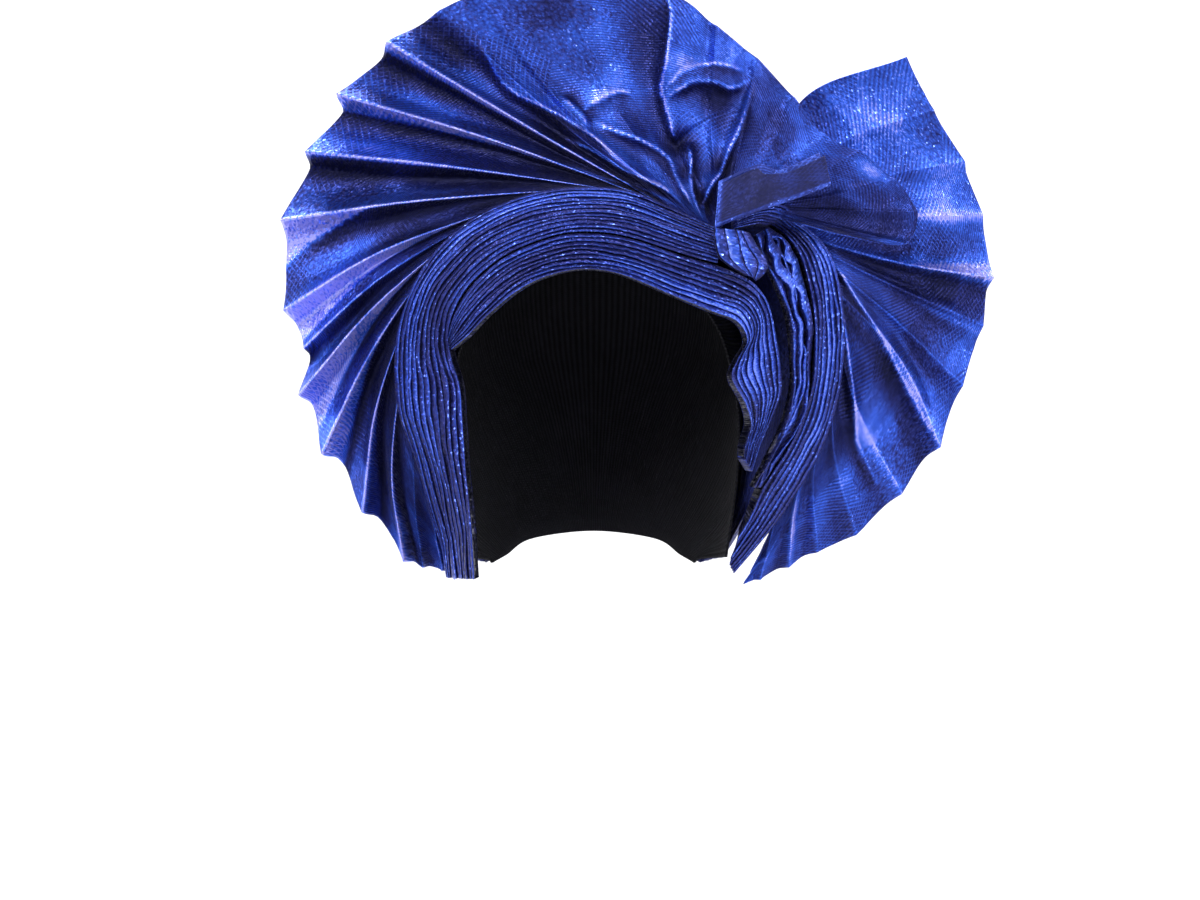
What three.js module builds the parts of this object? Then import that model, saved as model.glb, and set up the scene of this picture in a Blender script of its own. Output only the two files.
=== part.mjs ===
// A pre-tied head tie of stiff metallic cloth: a pleated band round the face, a knot with a folded tab at the
// wearer's left temple, two fans of radiating folds, and a hood over a dark cap lining that takes the head.
// Millimetres. +Z is up and -Y is the wearer's front. The origin is where the crown of the head bears on the cap.
import * as THREE from "three";

// The hollow for the head.
const headWidth = 150;
const headDepth = 190;
const crownRise = 85; // from the head's widest level up to its crown
const napeTaper = 0.12; // how much narrower the head is at the foot of the head tie
const browTaper = 0.1; // how much narrower it is at the brow, and wider at the back

// The reach of the cloth from the crown of the head.
const leftReach = 154; // towards the picture's left, which is the wearer's right
const rightReach = 200;
const topReach = 98;
const drop = 202;

// Cloth and pleats.
const liningWall = 1.2;
const hoodWall = 2;
const fanWall = 2;
const bundleWall = 6; // a stack of pressed pleats, behind its outermost folds
const knotWall = 2;
const tabWall = 1.2;
const ribHeight = 1.6; // how far a pleat's fold stands out of its stack
const ruffleHeight = 4;
const knotRib = 1.2;
const foldHeight = 8; // half the depth of a fan fold at the rim
const hoodFold = 1.8;
const seamGap = 0.7; // between pieces that lie against each other
const headEase = 0.5; // slack between the cap lining and the head
const hoodLoft = 4.5; // how far the hood stands off the cap lining
const bandFacing = 320; // the radius over which the bands turn away from straight ahead
const fanFacing = 1200; // the same for the fans, whose folds stand nearly straight ahead
const turnedDepth = 45; // how far behind the crown of the head the bands face wholly outwards
const cheekDepth = -20; // from here back the bands turn to face straight out of their own surface
const earDepth = 30;
const bandBulge = 4;
const knotBulge = 4;
const dish = 0.065; // how far a fold is hollowed between its root and its tip, as a share of its length

// How many pleats, folds, columns and rows.
const crownPleats = 12;
const browPleats = 9;
const templePleats = 7;
const rufflePleats = 4;
const knotPleats = 4;
const hoodFolds = 7;
const columnsPerFold = 3;
const fanRows = 8;

const satinBlue = { color: 0x1f3fb5, roughness: 0.38, metalness: 0.55 };
const deepBlue = { color: 0x16257a, roughness: 0.45, metalness: 0.45 };
const capBlack = { color: 0x0a0b14, roughness: 0.85, metalness: 0 };

const table = (columns, rows) =>
  rows.map((row) => Object.fromEntries(columns.map((name, i) => [name, row[i]])));

// Sections of the band from behind the right ear up over the brow to the knot. The crease is its outer edge and the
// seam its inner one. x is a share of half the head's width, y of half its depth, and z of the reach or the drop.
const crownSections = table(["x", "z", "y", "seamX", "seamZ", "seamY"], [
  [-0.93, -0.97, 0.08, -0.767, -0.973, -0.5],
  [-1.06, -0.817, 0.0, -0.793, -0.829, -0.56],
  [-1.18, -0.68, -0.12, -0.827, -0.705, -0.56],
  [-1.287, -0.567, -0.26, -0.847, -0.594, -0.57],
  [-1.313, -0.47, -0.36, -0.867, -0.495, -0.55],
  [-1.293, -0.371, -0.45, -0.92, -0.433, -0.5],
  [-1.227, -0.287, -0.53, -0.94, -0.371, -0.54],
  [-1.087, -0.19, -0.63, -0.9, -0.314, -0.63],
  [-0.853, -0.106, -0.73, -0.787, -0.25, -0.76],
  [-0.613, -0.059, -0.8, -0.587, -0.19, -0.86],
  [-0.32, -0.025, -0.85, -0.353, -0.151, -0.92],
  [-0.047, -0.017, -0.87, -0.12, -0.131, -0.94],
  [0.247, -0.027, -0.87, 0.193, -0.139, -0.94],
  [0.52, -0.069, -0.86, 0.6, -0.186, -0.92],
  [0.82, -0.116, -0.82, 0.8, -0.205, -0.87],
]);

// The fan's root past the knot, where it runs behind the tab.
const creaseEnd = table(["x", "z", "y"], [
  [0.875, -0.096, -0.82],
  [0.92, -0.074, -0.82],
  [0.99, -0.061, -0.81],
  [1.087, -0.062, -0.78],
  [1.2, -0.07, -0.76],
  [1.22, -0.1, -0.75],
]);

// The band's lower edge from the tuck at the right temple across the brow, under the knot and down the left cheek.
// seam is the crown section that the upper edge shares; past the knot the upper edge has its own place.
const browSections = table(["x", "z", "y", "seam", "topX", "topZ", "topY"], [
  [-0.927, -0.41, -0.54, 6],
  [-0.82, -0.379, -0.64, 7],
  [-0.66, -0.322, -0.77, 8],
  [-0.467, -0.267, -0.88, 9],
  [-0.253, -0.233, -0.93, 10],
  [-0.02, -0.225, -0.94, 11],
  [0.227, -0.24, -0.94, 12],
  [0.54, -0.287, -0.91, 13],
  [0.78, -0.322, -0.85, 14],
  [0.933, -0.344, -0.77, null, 1.04, -0.245, -0.78],
  [1.0, -0.389, -0.68, null, 1.147, -0.3, -0.71],
  [0.94, -0.433, -0.62, null, 1.2, -0.374, -0.62],
  [0.9, -0.478, -0.58, null, 1.233, -0.446, -0.54],
  [0.993, -0.54, -0.44, null, 1.24, -0.512, -0.46],
  [1.03, -0.59, -0.32, null, 1.173, -0.582, -0.36],
  [1.0, -0.63, -0.27, null, 1.1, -0.65, -0.3],
  [0.98, -0.67, -0.24, null, 1.05, -0.71, -0.25],
]);

// The stack of long pleats from under the tab down behind the left ear.
const templeSections = table(["x", "z", "y", "innerX", "innerZ", "innerY"], [
  [1.38, -0.1, -0.55, 1.167, -0.105, -0.58],
  [1.5, -0.14, -0.55, 1.267, -0.135, -0.59],
  [1.58, -0.19, -0.55, 1.36, -0.19, -0.59],
  [1.64, -0.285, -0.53, 1.427, -0.29, -0.57],
  [1.66, -0.389, -0.48, 1.447, -0.389, -0.54],
  [1.64, -0.495, -0.4, 1.433, -0.488, -0.46],
  [1.58, -0.594, -0.3, 1.373, -0.574, -0.36],
  [1.473, -0.686, -0.19, 1.273, -0.656, -0.25],
  [1.313, -0.792, -0.03, 1.133, -0.743, -0.1],
  [1.147, -0.886, 0.13, 1.04, -0.829, 0.07],
  [0.993, -0.965, 0.27, 0.93, -0.916, 0.23],
]);

// The root of the left fan behind the tab, before it follows the long pleats.
const leftRootStart = table(["x", "z", "y"], [
  [1.18, -0.045, -0.47],
  [1.3, -0.065, -0.5],
]);

// The inner edge of the crumpled ruffle; its outer edge follows the long pleats, section by section.
const ruffleSections = table(["x", "z", "y"], [
  [1.06, -0.131, -0.71],
  [1.113, -0.19, -0.71],
  [1.2, -0.26, -0.68],
  [1.27, -0.329, -0.62],
  [1.3, -0.408, -0.55],
  [1.31, -0.495, -0.47],
  [1.25, -0.594, -0.36],
  [1.15, -0.68, -0.24],
  [1.06, -0.748, -0.12],
]);

// The gathered knot from its open top down to where it is pinned.
const knotSections = table(["x", "z", "y", "rightX", "rightZ", "rightY"], [
  [0.79, -0.12, -0.955, 1.03, -0.13, -0.9],
  [0.8, -0.16, -0.965, 1.093, -0.168, -0.88],
  [0.825, -0.189, -0.97, 1.147, -0.198, -0.88],
  [0.9, -0.212, -0.965, 1.133, -0.225, -0.875],
  [0.98, -0.23, -0.95, 1.073, -0.245, -0.87],
]);

// The folded tab from the knot out to its open end: the lower and the upper edge of its front face.
const tabSections = table(["x", "z", "y", "topX", "topZ", "topY"], [
  [0.8, -0.116, -0.965, 0.827, -0.0025, -0.945],
  [1.05, -0.08, -0.94, 1.1, 0.085, -0.91],
  [1.32, -0.045, -0.9, 1.233, 0.056, -0.88],
  [1.553, -0.012, -0.87, 1.493, 0.143, -0.84],
]);

// One row for each fold of the front fan, from behind the right ear over the top to the lobe behind the tab.
// from is the place on the crease, in sections; x, z and y are the fold's tip at the rim; bend bows it in the front
// view; rise is its height; dip is the notch in the rim after it.
const frontFolds = table(["from", "x", "z", "y", "bend", "rise", "dip"], [
  [0.3, -0.4675, -0.99, 0.36, 0, 0.2, 0.01],
  [1.2, -0.505, -0.965, 0.26, 0, 0.3, 0.02],
  [2.4, -0.565, -0.955, 0.12, -0.03, 0.3, 0.02],
  [4.0, -0.617, -0.936, -0.02, -0.06, 0.8, 0.04],
  [5.6, -0.75, -0.812, -0.15, -0.05, 0.9, 0.06],
  [6.7, -0.877, -0.666, -0.24, -0.04, 1.0, 0.03],
  [7.4, -0.948, -0.52, -0.36, -0.04, 0.95, 0.02],
  [8.0, -0.938, -0.403, -0.43, -0.05, 0.5, 0.01],
  [8.6, -0.994, -0.312, -0.5, -0.05, 1.0, 0],
  [10.0, -1.0, -0.092, -0.57, -0.02, 1.0, 0.02],
  [11.3, -0.919, 0.153, -0.61, -0.014, 1.0, 0.04],
  [12.25, -0.818, 0.444, -0.64, -0.02, 1.0, 0.015],
  [12.75, -0.659, 0.704, -0.66, 0, 0.9, 0],
  [13.1, -0.494, 0.872, -0.68, 0.02, 0.6, 0],
  [13.5, -0.373, 0.954, -0.69, 0.05, 0.8, 0],
  [13.85, -0.107, 1.0, -0.7, 0.06, 0.5, 0],
  [14.6, 0.19, 0.944, -0.7, 0.11, 0.9, 0],
  [15.0, 0.305, 0.79, -0.69, 0.04, 0.8, 0],
  [15.5, 0.4075, 0.628, -0.68, 0, 0.8, 0],
  [16.0, 0.5, 0.434, -0.67, -0.03, 0.5, 0.01],
  [16.5, 0.578, 0.24, -0.67, -0.03, 0.35, 0.03],
  [17.1, 0.6625, 0.163, -0.68, -0.03, 0.3, 0.02],
  [17.7, 0.75, 0.015, -0.69, -0.02, 0.35, 0.01],
  [18.3, 0.8025, -0.072, -0.7, 0, 0.35, 0.01],
  [18.7, 0.775, -0.151, -0.71, 0, 0.35, 0.02],
  [18.95, 0.6425, -0.135, -0.73, 0, 0.3, 0.02],
  [19.2, 0.5175, -0.105, -0.75, 0, 0.2, 0],
]);

// The folds of the left fan, from the cloth's corner above the tab down behind the left ear. from counts the rows of
// its root, which are those before the long pleats and then theirs.
const sideFolds = table(["from", "x", "z", "y", "bend", "rise", "dip"], [
  [0.2, 0.7875, 0.663, -0.44, 0.236, 0.2, 0],
  [0.8, 0.8575, 0.393, -0.41, 0.12, 0.3, 0],
  [1.4, 0.935, 0.1276, -0.38, 0.06, 0.45, 0.01],
  [2.0, 0.9775, -0.074, -0.36, 0.03, 0.4, 0],
  [2.7, 1.0, -0.228, -0.34, -0.02, 0.7, 0],
  [3.4, 0.98, -0.347, -0.3, 0, 0.5, 0],
  [4.0, 0.93, -0.495, -0.26, 0.03, 0.5, 0],
  [4.6, 0.87, -0.649, -0.2, 0.08, 1.0, 0.01],
  [5.6, 0.78, -0.767, -0.1, -0.06, 0.8, 0],
  [6.8, 0.6675, -0.871, 0, -0.05, 0.6, 0],
  [8.0, 0.5725, -0.916, 0.08, -0.04, 0.5, 0.01],
  [9.0, 0.5, -0.955, 0.15, -0.03, 0.7, 0.01],
  [10.2, 0.4275, -0.9876, 0.23, 0, 0.4, 0.01],
  [11.2, 0.385, -1.0, 0.28, 0, 0.3, 0],
]);

const halfWidth = headWidth / 2;
const halfDepth = headDepth / 2;
const widestLevel = -crownRise;

const height = (share) => share * (share > 0 ? topReach : drop);
const onHead = (x, z, y) => new THREE.Vector3(x * halfWidth, y * halfDepth, height(z));
const atRim = (x, z, y) =>
  new THREE.Vector3(x * (x > 0 ? rightReach : leftReach), y * halfDepth, height(z));

const steps = (from, to, count) =>
  Array.from({ length: count + 1 }, (_, i) => from + ((to - from) * i) / count);

// A smooth line through points, asked for by point number.
function lineThrough(points) {
  const curve = new THREE.CatmullRomCurve3(points, false, "catmullrom", 0.5);
  const last = points.length - 1;
  return (number) => curve.getPoint(THREE.MathUtils.clamp(number / last, 0, 1));
}

// The way the cloth faces at a place: ahead at the front, and turned outwards towards the ears and the top.
function faceOf(p, facing = bandFacing) {
  const ahead = THREE.MathUtils.clamp((turnedDepth - p.y) / (turnedDepth + halfDepth), 0.15, 1);
  const up = (p.z - widestLevel) / (p.z > widestLevel ? 2 : 5);
  return new THREE.Vector3(p.x, -facing * ahead, up).normalize();
}

// How far out a point is, as a share of the head's surface.
function headShare(p) {
  const below = Math.max(0, widestLevel - p.z) / (drop + widestLevel);
  const narrow = 1 - napeTaper * below * below;
  const egg = 1 + browTaper * THREE.MathUtils.clamp(p.y / halfDepth, -1, 1);
  const up = Math.max(0, p.z - widestLevel) / crownRise;
  return Math.hypot(p.x / (halfWidth * narrow * egg), p.y / (halfDepth * narrow), up);
}

// Straight out from the head's surface.
function outOfHead(p) {
  const up = Math.max(0, p.z - widestLevel) / crownRise ** 2;
  return new THREE.Vector3(p.x / halfWidth ** 2, p.y / halfDepth ** 2, up).normalize();
}

// The point moved in or out from the head's middle until it lies at that share of its surface.
function toShare(p, share) {
  const grown = p.clone();
  for (let round = 0; round < 4; round += 1) {
    const grow = share / headShare(grown);
    grown.x *= grow;
    grown.y *= grow;
    if (grown.z > widestLevel) grown.z = widestLevel + (grown.z - widestLevel) * grow;
  }
  return grown;
}

// The point, moved straight out until it is that far clear of the head.
function clearOfHead(p, clearance) {
  const wanted = 1 + clearance / halfWidth;
  return headShare(p) < wanted ? toShare(p, wanted) : p;
}

// Triangles between two lines of vertices with the same ends, which may hold different numbers of them.
function zip(first, second, faces) {
  let i = 0;
  let j = 0;
  while (i < first.length - 1 || j < second.length - 1) {
    const nextFirst = (i + 1) / (first.length - 1);
    const nextSecond = (j + 1) / (second.length - 1);
    if (j === second.length - 1 || (i < first.length - 1 && nextFirst <= nextSecond)) {
      faces.push(first[i], first[i + 1], second[j]);
      i += 1;
    } else {
      faces.push(first[i], second[j + 1], second[j]);
      j += 1;
    }
  }
}

// A closed wall between a front and a back grid of points with the same number of rows.
function wall(front, back) {
  const points = [];
  const numbered = (grid) =>
    grid.map((row) =>
      row.map((p) => {
        points.push(p.x, p.y, p.z);
        return points.length / 3 - 1;
      }),
    );
  const f = numbered(front);
  const b = numbered(back);
  const faces = [];
  const backFaces = [];
  for (let i = 0; i < f.length - 1; i += 1) {
    zip(f[i], f[i + 1], faces);
    zip(b[i], b[i + 1], backFaces);
    faces.push(f[i][0], f[i + 1][0], b[i][0], f[i + 1][0], b[i + 1][0], b[i][0]);
    const [p, q, r, s] = [f[i].at(-1), f[i + 1].at(-1), b[i].at(-1), b[i + 1].at(-1)];
    faces.push(p, r, q, q, r, s);
  }
  faces.push(...backFaces.reverse());
  zip(b[0], f[0], faces);
  zip(f.at(-1), b.at(-1), faces);
  const geometry = new THREE.BufferGeometry();
  geometry.setAttribute("position", new THREE.Float32BufferAttribute(points, 3));
  geometry.setIndex(volumeOf(points, faces) < 0 ? faces.reverse() : faces);
  geometry.computeVertexNormals();
  return geometry;
}

function volumeOf(points, faces) {
  const at = (i) => new THREE.Vector3(...points.slice(3 * i, 3 * i + 3));
  let sum = 0;
  for (let i = 0; i < faces.length; i += 3) {
    sum += at(faces[i]).dot(at(faces[i + 1]).cross(at(faces[i + 2])));
  }
  return sum;
}

// The way a band between two edge lines faces, a share of the way across: ahead at the front, and straight out of
// its own surface by the ears.
function outOfBand(inner, outer, station, across) {
  const run = inner(station + 0.2).lerp(outer(station + 0.2), across);
  run.sub(inner(station - 0.2).lerp(outer(station - 0.2), across));
  const width = outer(station).sub(inner(station));
  const p = inner(station).lerp(outer(station), across);
  const turned = THREE.MathUtils.smoothstep(p.y, cheekDepth, earDepth);
  return faceOf(p).lerp(run.cross(width).normalize(), turned).normalize();
}

// A stack of pleats between an inner and an outer edge line: folds stand out in front, and the back is plain.
function pleatStack({ inner, outer, stations, pleats, rib, thickness, bulge, backColumns = 2 }) {
  const clearance = headEase + liningWall + seamGap + thickness / 2;
  const column = (station, across) => {
    const a = inner(station);
    const b = outer(station);
    const inset = seamGap / 2 / a.distanceTo(b);
    const middle = a.lerp(b, THREE.MathUtils.lerp(inset, 1 - inset, across));
    const n = outOfBand(inner, outer, station, across);
    middle.addScaledVector(n, bulge * Math.sin(Math.PI * across));
    return { middle: clearOfHead(middle, clearance), n };
  };
  const row = (station, columns, offset) =>
    Array.from({ length: columns + 1 }, (_, k) => {
      const { middle, n } = column(station, k / columns);
      return middle.addScaledVector(n, offset(k));
    });
  const front = stations.map((s) => row(s, 2 * pleats, (k) => thickness / 2 + (k % 2 ? rib : 0)));
  const back = stations.map((s) => row(s, backColumns, () => -thickness / 2));
  return wall(front, back);
}

// A fan of folds that leaves a root line and opens out to its rim.
function foldFan(root, folds) {
  const last = folds.length - 1;
  const set = lineThrough(folds.map((fold) => new THREE.Vector3(fold.from, fold.bend, fold.rise)));
  const rim = lineThrough(folds.map((fold) => atRim(fold.x, fold.z, fold.y)));
  const shares = steps(0, 1, fanRows);
  const middles = [];
  const swells = [];
  for (const place of steps(0, last, last * columnsPerFold)) {
    const valley = Math.abs(Math.sin(Math.PI * place));
    const { x: from, y: bend, z: rise } = set(place);
    const start = root(from);
    const notch = folds[Math.min(Math.floor(place), last)].dip * valley;
    const end = rim(place).lerp(start, notch);
    const chord = end.clone().sub(start);
    const bow = new THREE.Vector3(-chord.z, 0, chord.x).multiplyScalar(bend);
    bow.y = dish * chord.length();
    const middle = start.clone().lerp(end, 0.5).add(bow);
    const line = new THREE.CatmullRomCurve3([start, middle, end], false, "catmullrom", 0.5);
    const height = foldHeight * rise * (1 - 2 * valley);
    middles.push(shares.map((share) => line.getPoint(share)));
    swells.push(shares.map((share) => height * Math.min(1, share * (1.6 - 0.6 * share))));
  }
  return wall(...facesOf(middles, swells));
}

// The front and the back face of a fan whose middle points are given, each swollen out by its fold's height.
function facesOf(middles, swells) {
  const lastRow = middles.length - 1;
  const lastColumn = middles[0].length - 1;
  const normal = (i, j) => {
    const next = middles[Math.min(i + 1, lastRow)][j].clone();
    const onward = middles[i][Math.min(j + 1, lastColumn)].clone();
    const across = next.sub(middles[Math.max(i - 1, 0)][j]);
    const along = onward.sub(middles[i][Math.max(j - 1, 0)]);
    return across.cross(along).normalize();
  };
  const face = (thickness) =>
    middles.map((row, i) =>
      row.map((p, j) =>
        p
          .clone()
          .addScaledVector(faceOf(p, fanFacing), swells[i][j])
          .addScaledVector(normal(i, j), thickness),
      ),
    );
  return [face(fanWall / 2), face(-fanWall / 2)];
}

const crease = lineThrough(
  [...crownSections, ...creaseEnd].map((row) => onHead(row.x, row.z, row.y)),
);
const seam = lineThrough(crownSections.map((row) => onHead(row.seamX, row.seamZ, row.seamY)));
const knotStation = crownSections.length - 1;

const brim = lineThrough(browSections.map((row) => onHead(row.x, row.z, row.y)));
const firstSeam = browSections[0].seam;
const lastShared = knotStation - firstSeam;
const browTail = lineThrough([
  ...browSections.slice(0, lastShared + 1).map((row) => seam(row.seam)),
  ...browSections.slice(lastShared + 1).map((row) => onHead(row.topX, row.topZ, row.topY)),
]);
const browTop = (station) => (station <= lastShared ? seam(station + firstSeam) : browTail(station));

const templeOuter = lineThrough(templeSections.map((row) => onHead(row.x, row.z, row.y)));
const templeInner = lineThrough(
  templeSections.map((row) => onHead(row.innerX, row.innerZ, row.innerY)),
);
const ruffleInner = lineThrough(ruffleSections.map((row) => onHead(row.x, row.z, row.y)));
const leftRoot = lineThrough(
  [...leftRootStart, ...templeSections].map((row) => onHead(row.x, row.z, row.y)),
);
const leftRootInner = (station) => templeInner(station - leftRootStart.length);

const crownPleatStack = () =>
  pleatStack({
    inner: seam,
    outer: crease,
    stations: steps(0, knotStation, 2 * knotStation),
    pleats: crownPleats,
    rib: ribHeight,
    thickness: bundleWall,
    bulge: bandBulge,
  });

const browPleatStack = () =>
  pleatStack({
    inner: brim,
    outer: browTop,
    stations: steps(0, browSections.length - 1, 2 * (browSections.length - 1)),
    pleats: browPleats,
    rib: ribHeight,
    thickness: bundleWall,
    bulge: 0,
  });

const templePleatStack = () =>
  pleatStack({
    inner: templeInner,
    outer: templeOuter,
    stations: steps(0, templeSections.length - 1, 2 * (templeSections.length - 1)),
    pleats: templePleats,
    rib: ribHeight,
    thickness: bundleWall,
    bulge: 0,
  });

// The ruffle is one crumpled layer, with fewer and taller folds than the pressed stacks.
const ruffleFolds = () =>
  pleatStack({
    inner: ruffleInner,
    outer: templeInner,
    stations: steps(0, ruffleSections.length - 1, 2 * (ruffleSections.length - 1)),
    pleats: rufflePleats,
    rib: ruffleHeight,
    thickness: fanWall,
    bulge: 0,
    backColumns: 4,
  });

const knotLeft = lineThrough(knotSections.map((row) => onHead(row.x, row.z, row.y)));
const knotRight = lineThrough(
  knotSections.map((row) => onHead(row.rightX, row.rightZ, row.rightY)),
);
const gatheredKnot = () =>
  pleatStack({
    inner: knotLeft,
    outer: knotRight,
    stations: steps(0, knotSections.length - 1, 2 * (knotSections.length - 1)),
    pleats: knotPleats,
    rib: knotRib,
    thickness: knotWall,
    bulge: knotBulge,
    backColumns: 8,
  });

// A fan's root line: past the outer edge of a stack of pleats by an ear, and tucked behind the stack further up.
const tuck = (bundleWall + fanWall) / 2 + seamGap;
const stackClearance = headEase + liningWall + seamGap + bundleWall / 2;
function rootAlong(outer, inner, earToTuck, tuckedEdge) {
  return (station) => {
    const p = clearOfHead(outer(station), stackClearance);
    const run = outer(station + 0.2).sub(outer(station - 0.2)).normalize();
    const beyond = p.clone().sub(inner(station)).projectOnPlane(run).normalize();
    const behind = THREE.MathUtils.smoothstep(earToTuck(station), 0, 0.7);
    const under = THREE.MathUtils.smoothstep(earToTuck(station), 0.7, 1.4);
    const past = THREE.MathUtils.lerp(fanWall / 2 + bundleWall * (1 - behind), -tuckedEdge, under);
    const n = outOfBand(inner, outer, station, 1);
    return p.clone().addScaledVector(n, -tuck * behind).addScaledVector(beyond, past);
  };
}

const frontRoot = rootAlong(crease, seam, (station) => (station - 1) / 3, -1);
const sideRoot = rootAlong(leftRoot, leftRootInner, (station) => (12 - station) / 3, 1);

// The tab is one strip of cloth folded along its lower edge, so its section is a flat U that is open above.
const tabDepth = 5;
const frontDrop = 3; // how much lower the front leaf ends than the back one
function foldedTab() {
  const low = lineThrough(tabSections.map((row) => onHead(row.x, row.z, row.y)));
  const high = lineThrough(tabSections.map((row) => onHead(row.topX, row.topZ, row.topY)));
  const foldSteps = 4;
  const ring = (station, inset) => {
    const a = low(station);
    const b = high(station);
    const n = faceOf(a);
    const radius = tabDepth / 2 - inset;
    const down = a.clone().sub(b).normalize();
    const centre = a.clone().addScaledVector(down, -tabDepth / 2);
    const turn = steps(0, Math.PI, foldSteps).map((angle) =>
      centre
        .clone()
        .addScaledVector(n, radius * Math.cos(angle))
        .addScaledVector(down, radius * Math.sin(angle)),
    );
    const front = b.clone().addScaledVector(n, radius).addScaledVector(down, frontDrop);
    const back = b.clone().addScaledVector(n, -radius);
    return [front, ...turn, back];
  };
  const stations = steps(0, tabSections.length - 1, 2 * (tabSections.length - 1));
  return wall(
    stations.map((s) => ring(s, 0)),
    stations.map((s) => ring(s, tabWall)),
  );
}

// The middle of a dome, from below one ear over the crown to below the other.
const overHead = table(["x", "z", "y"], [
  [-0.84, -0.94, 0.64],
  [-1, -0.8, 0.34],
  [-1, -0.5, 0.26],
  [-0.8, -0.2, 0.2],
  [0, 0, 0.1],
  [0.8, -0.2, 0.2],
  [1, -0.5, 0.26],
  [1, -0.8, 0.34],
  [0.84, -0.94, 0.64],
]);
const overLine = lineThrough(overHead.map((row) => onHead(row.x, row.z, row.y)));

// A dome over the head between a front edge and a hem at the nape, that far off the head's surface.
function dome({ frontEdge, hem, clearance, thickness, columns, rows, fold = 0, settle = 0.3 }) {
  const snug = 1 + clearance / halfWidth;
  const front = [];
  const back = [];
  for (const u of steps(0, 1, columns)) {
    const a = frontEdge(u);
    const b = hem(u);
    const arc = new THREE.CatmullRomCurve3([a, toShare(overLine(u * (overHead.length - 1)), snug), b]);
    const outer = [];
    const inner = [];
    for (const v of steps(0, 1, rows)) {
      const away = THREE.MathUtils.smoothstep(v, 0, settle);
      const near = THREE.MathUtils.smoothstep(v, 1 - settle, 1);
      const share = THREE.MathUtils.lerp(
        THREE.MathUtils.lerp(headShare(a), snug, away),
        headShare(b),
        near,
      );
      const p = toShare(arc.getPoint(v), share);
      const n = outOfHead(p);
      const ripple = fold * Math.abs(Math.sin(Math.PI * hoodFolds * v)) * Math.sin(Math.PI * v);
      outer.push(p.clone().addScaledVector(n, ripple + thickness / 2));
      inner.push(p.clone().addScaledVector(n, ripple - thickness / 2));
    }
    front.push(outer);
    back.push(inner);
  }
  return wall(front, back);
}

// The nape hem from below the right ear round the back of the neck to below the left one.
const hemSections = table(["x", "z", "y"], [
  [-0.8, -0.95, 0.7],
  [-0.68, -0.93, 0.8],
  [-0.45, -0.89, 0.86],
  [0, -0.87, 0.93],
  [0.45, -0.89, 0.86],
  [0.68, -0.93, 0.8],
  [0.8, -0.95, 0.7],
]);
const hemLine = (clearance) => {
  const share = 1 + clearance / halfWidth;
  const line = lineThrough(hemSections.map((row) => toShare(onHead(row.x, row.z, row.y), share)));
  return (u) => line(u * (hemSections.length - 1));
};

// The cap lining's front edge, set back behind the band's lower edge.
const liningEdge = table(["x", "z", "y"], [
  [-0.95, -0.93, 0.2],
  [-1.0, -0.72, 0.02],
  [-0.97, -0.53, -0.2],
  [-0.82, -0.34, -0.52],
  [-0.48, -0.225, -0.8],
  [0, -0.19, -0.9],
  [0.48, -0.225, -0.8],
  [0.82, -0.34, -0.52],
  [0.97, -0.53, -0.2],
  [1.0, -0.72, 0.02],
  [0.95, -0.93, 0.2],
]);
function capLining() {
  const clearance = headEase + liningWall / 2;
  const share = 1 + clearance / halfWidth;
  const line = lineThrough(liningEdge.map((row) => toShare(onHead(row.x, row.z, row.y), share)));
  return dome({
    frontEdge: (u) => line(u * (liningEdge.length - 1)),
    hem: hemLine(clearance),
    clearance,
    thickness: liningWall,
    columns: 20,
    rows: 8,
  });
}

// The hood's front edge, from beside the crown pleats' foot up behind them, the knot and the long pleats.
const hoodFront = table(["x", "z", "y"], [
  [-0.87, -0.93, 0.58],
  [-0.93, -0.9, 0.43],
  [-0.995, -0.837, 0.235],
  [-1.013, -0.772, 0.084],
  [-1.04, -0.693, -0.021],
  [-1.055, -0.586, -0.224],
  [-1.05, -0.492, -0.346],
  [-1.038, -0.408, -0.417],
  [-1.026, -0.339, -0.473],
  [-0.95, -0.266, -0.566],
  [-0.794, -0.195, -0.683],
  [-0.584, -0.141, -0.76],
  [-0.333, -0.104, -0.815],
  [-0.089, -0.089, -0.835],
  [0.21, -0.098, -0.835],
  [0.54, -0.13, -0.81],
  [0.78, -0.07, -0.7],
  [0.98, -0.045, -0.62],
  [1.2, -0.065, -0.55],
  [1.36, -0.12, -0.48],
  [1.411, -0.193, -0.513],
  [1.474, -0.29, -0.494],
  [1.492, -0.389, -0.457],
  [1.473, -0.49, -0.378],
  [1.4, -0.581, -0.279],
  [1.29, -0.666, -0.17],
  [1.13, -0.76, 0.01],
  [1.0, -0.85, 0.2],
  [0.89, -0.93, 0.37],
]);

function hood() {
  const clearance = headEase + liningWall + seamGap + hoodWall / 2;
  const front = lineThrough(
    hoodFront.map((row) => clearOfHead(onHead(row.x, row.z, row.y), clearance)),
  );
  return dome({
    frontEdge: (u) => front(u * (hoodFront.length - 1)),
    hem: hemLine(clearance + hoodLoft / 2),
    clearance: clearance + hoodLoft,
    thickness: hoodWall,
    columns: 26,
    rows: 2 * hoodFolds,
    fold: hoodFold,
  });
}

function piece(name, geometry, finish) {
  const mesh = new THREE.Mesh(geometry, new THREE.MeshStandardMaterial(finish));
  mesh.name = name;
  return mesh;
}

const headTie = new THREE.Group();
headTie.add(
  piece("cap_lining", capLining(), capBlack),
  piece("hood", hood(), deepBlue),
  piece("crown_pleats", crownPleatStack(), satinBlue),
  piece("brow_pleats", browPleatStack(), satinBlue),
  piece("temple_pleats", templePleatStack(), satinBlue),
  piece("ruffle", ruffleFolds(), satinBlue),
  piece("front_fan", foldFan(frontRoot, frontFolds), satinBlue),
  piece("left_fan", foldFan(sideRoot, sideFolds), satinBlue),
  piece("knot", gatheredKnot(), satinBlue),
  piece("tab", foldedTab(), deepBlue),
);

export default headTie;
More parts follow.
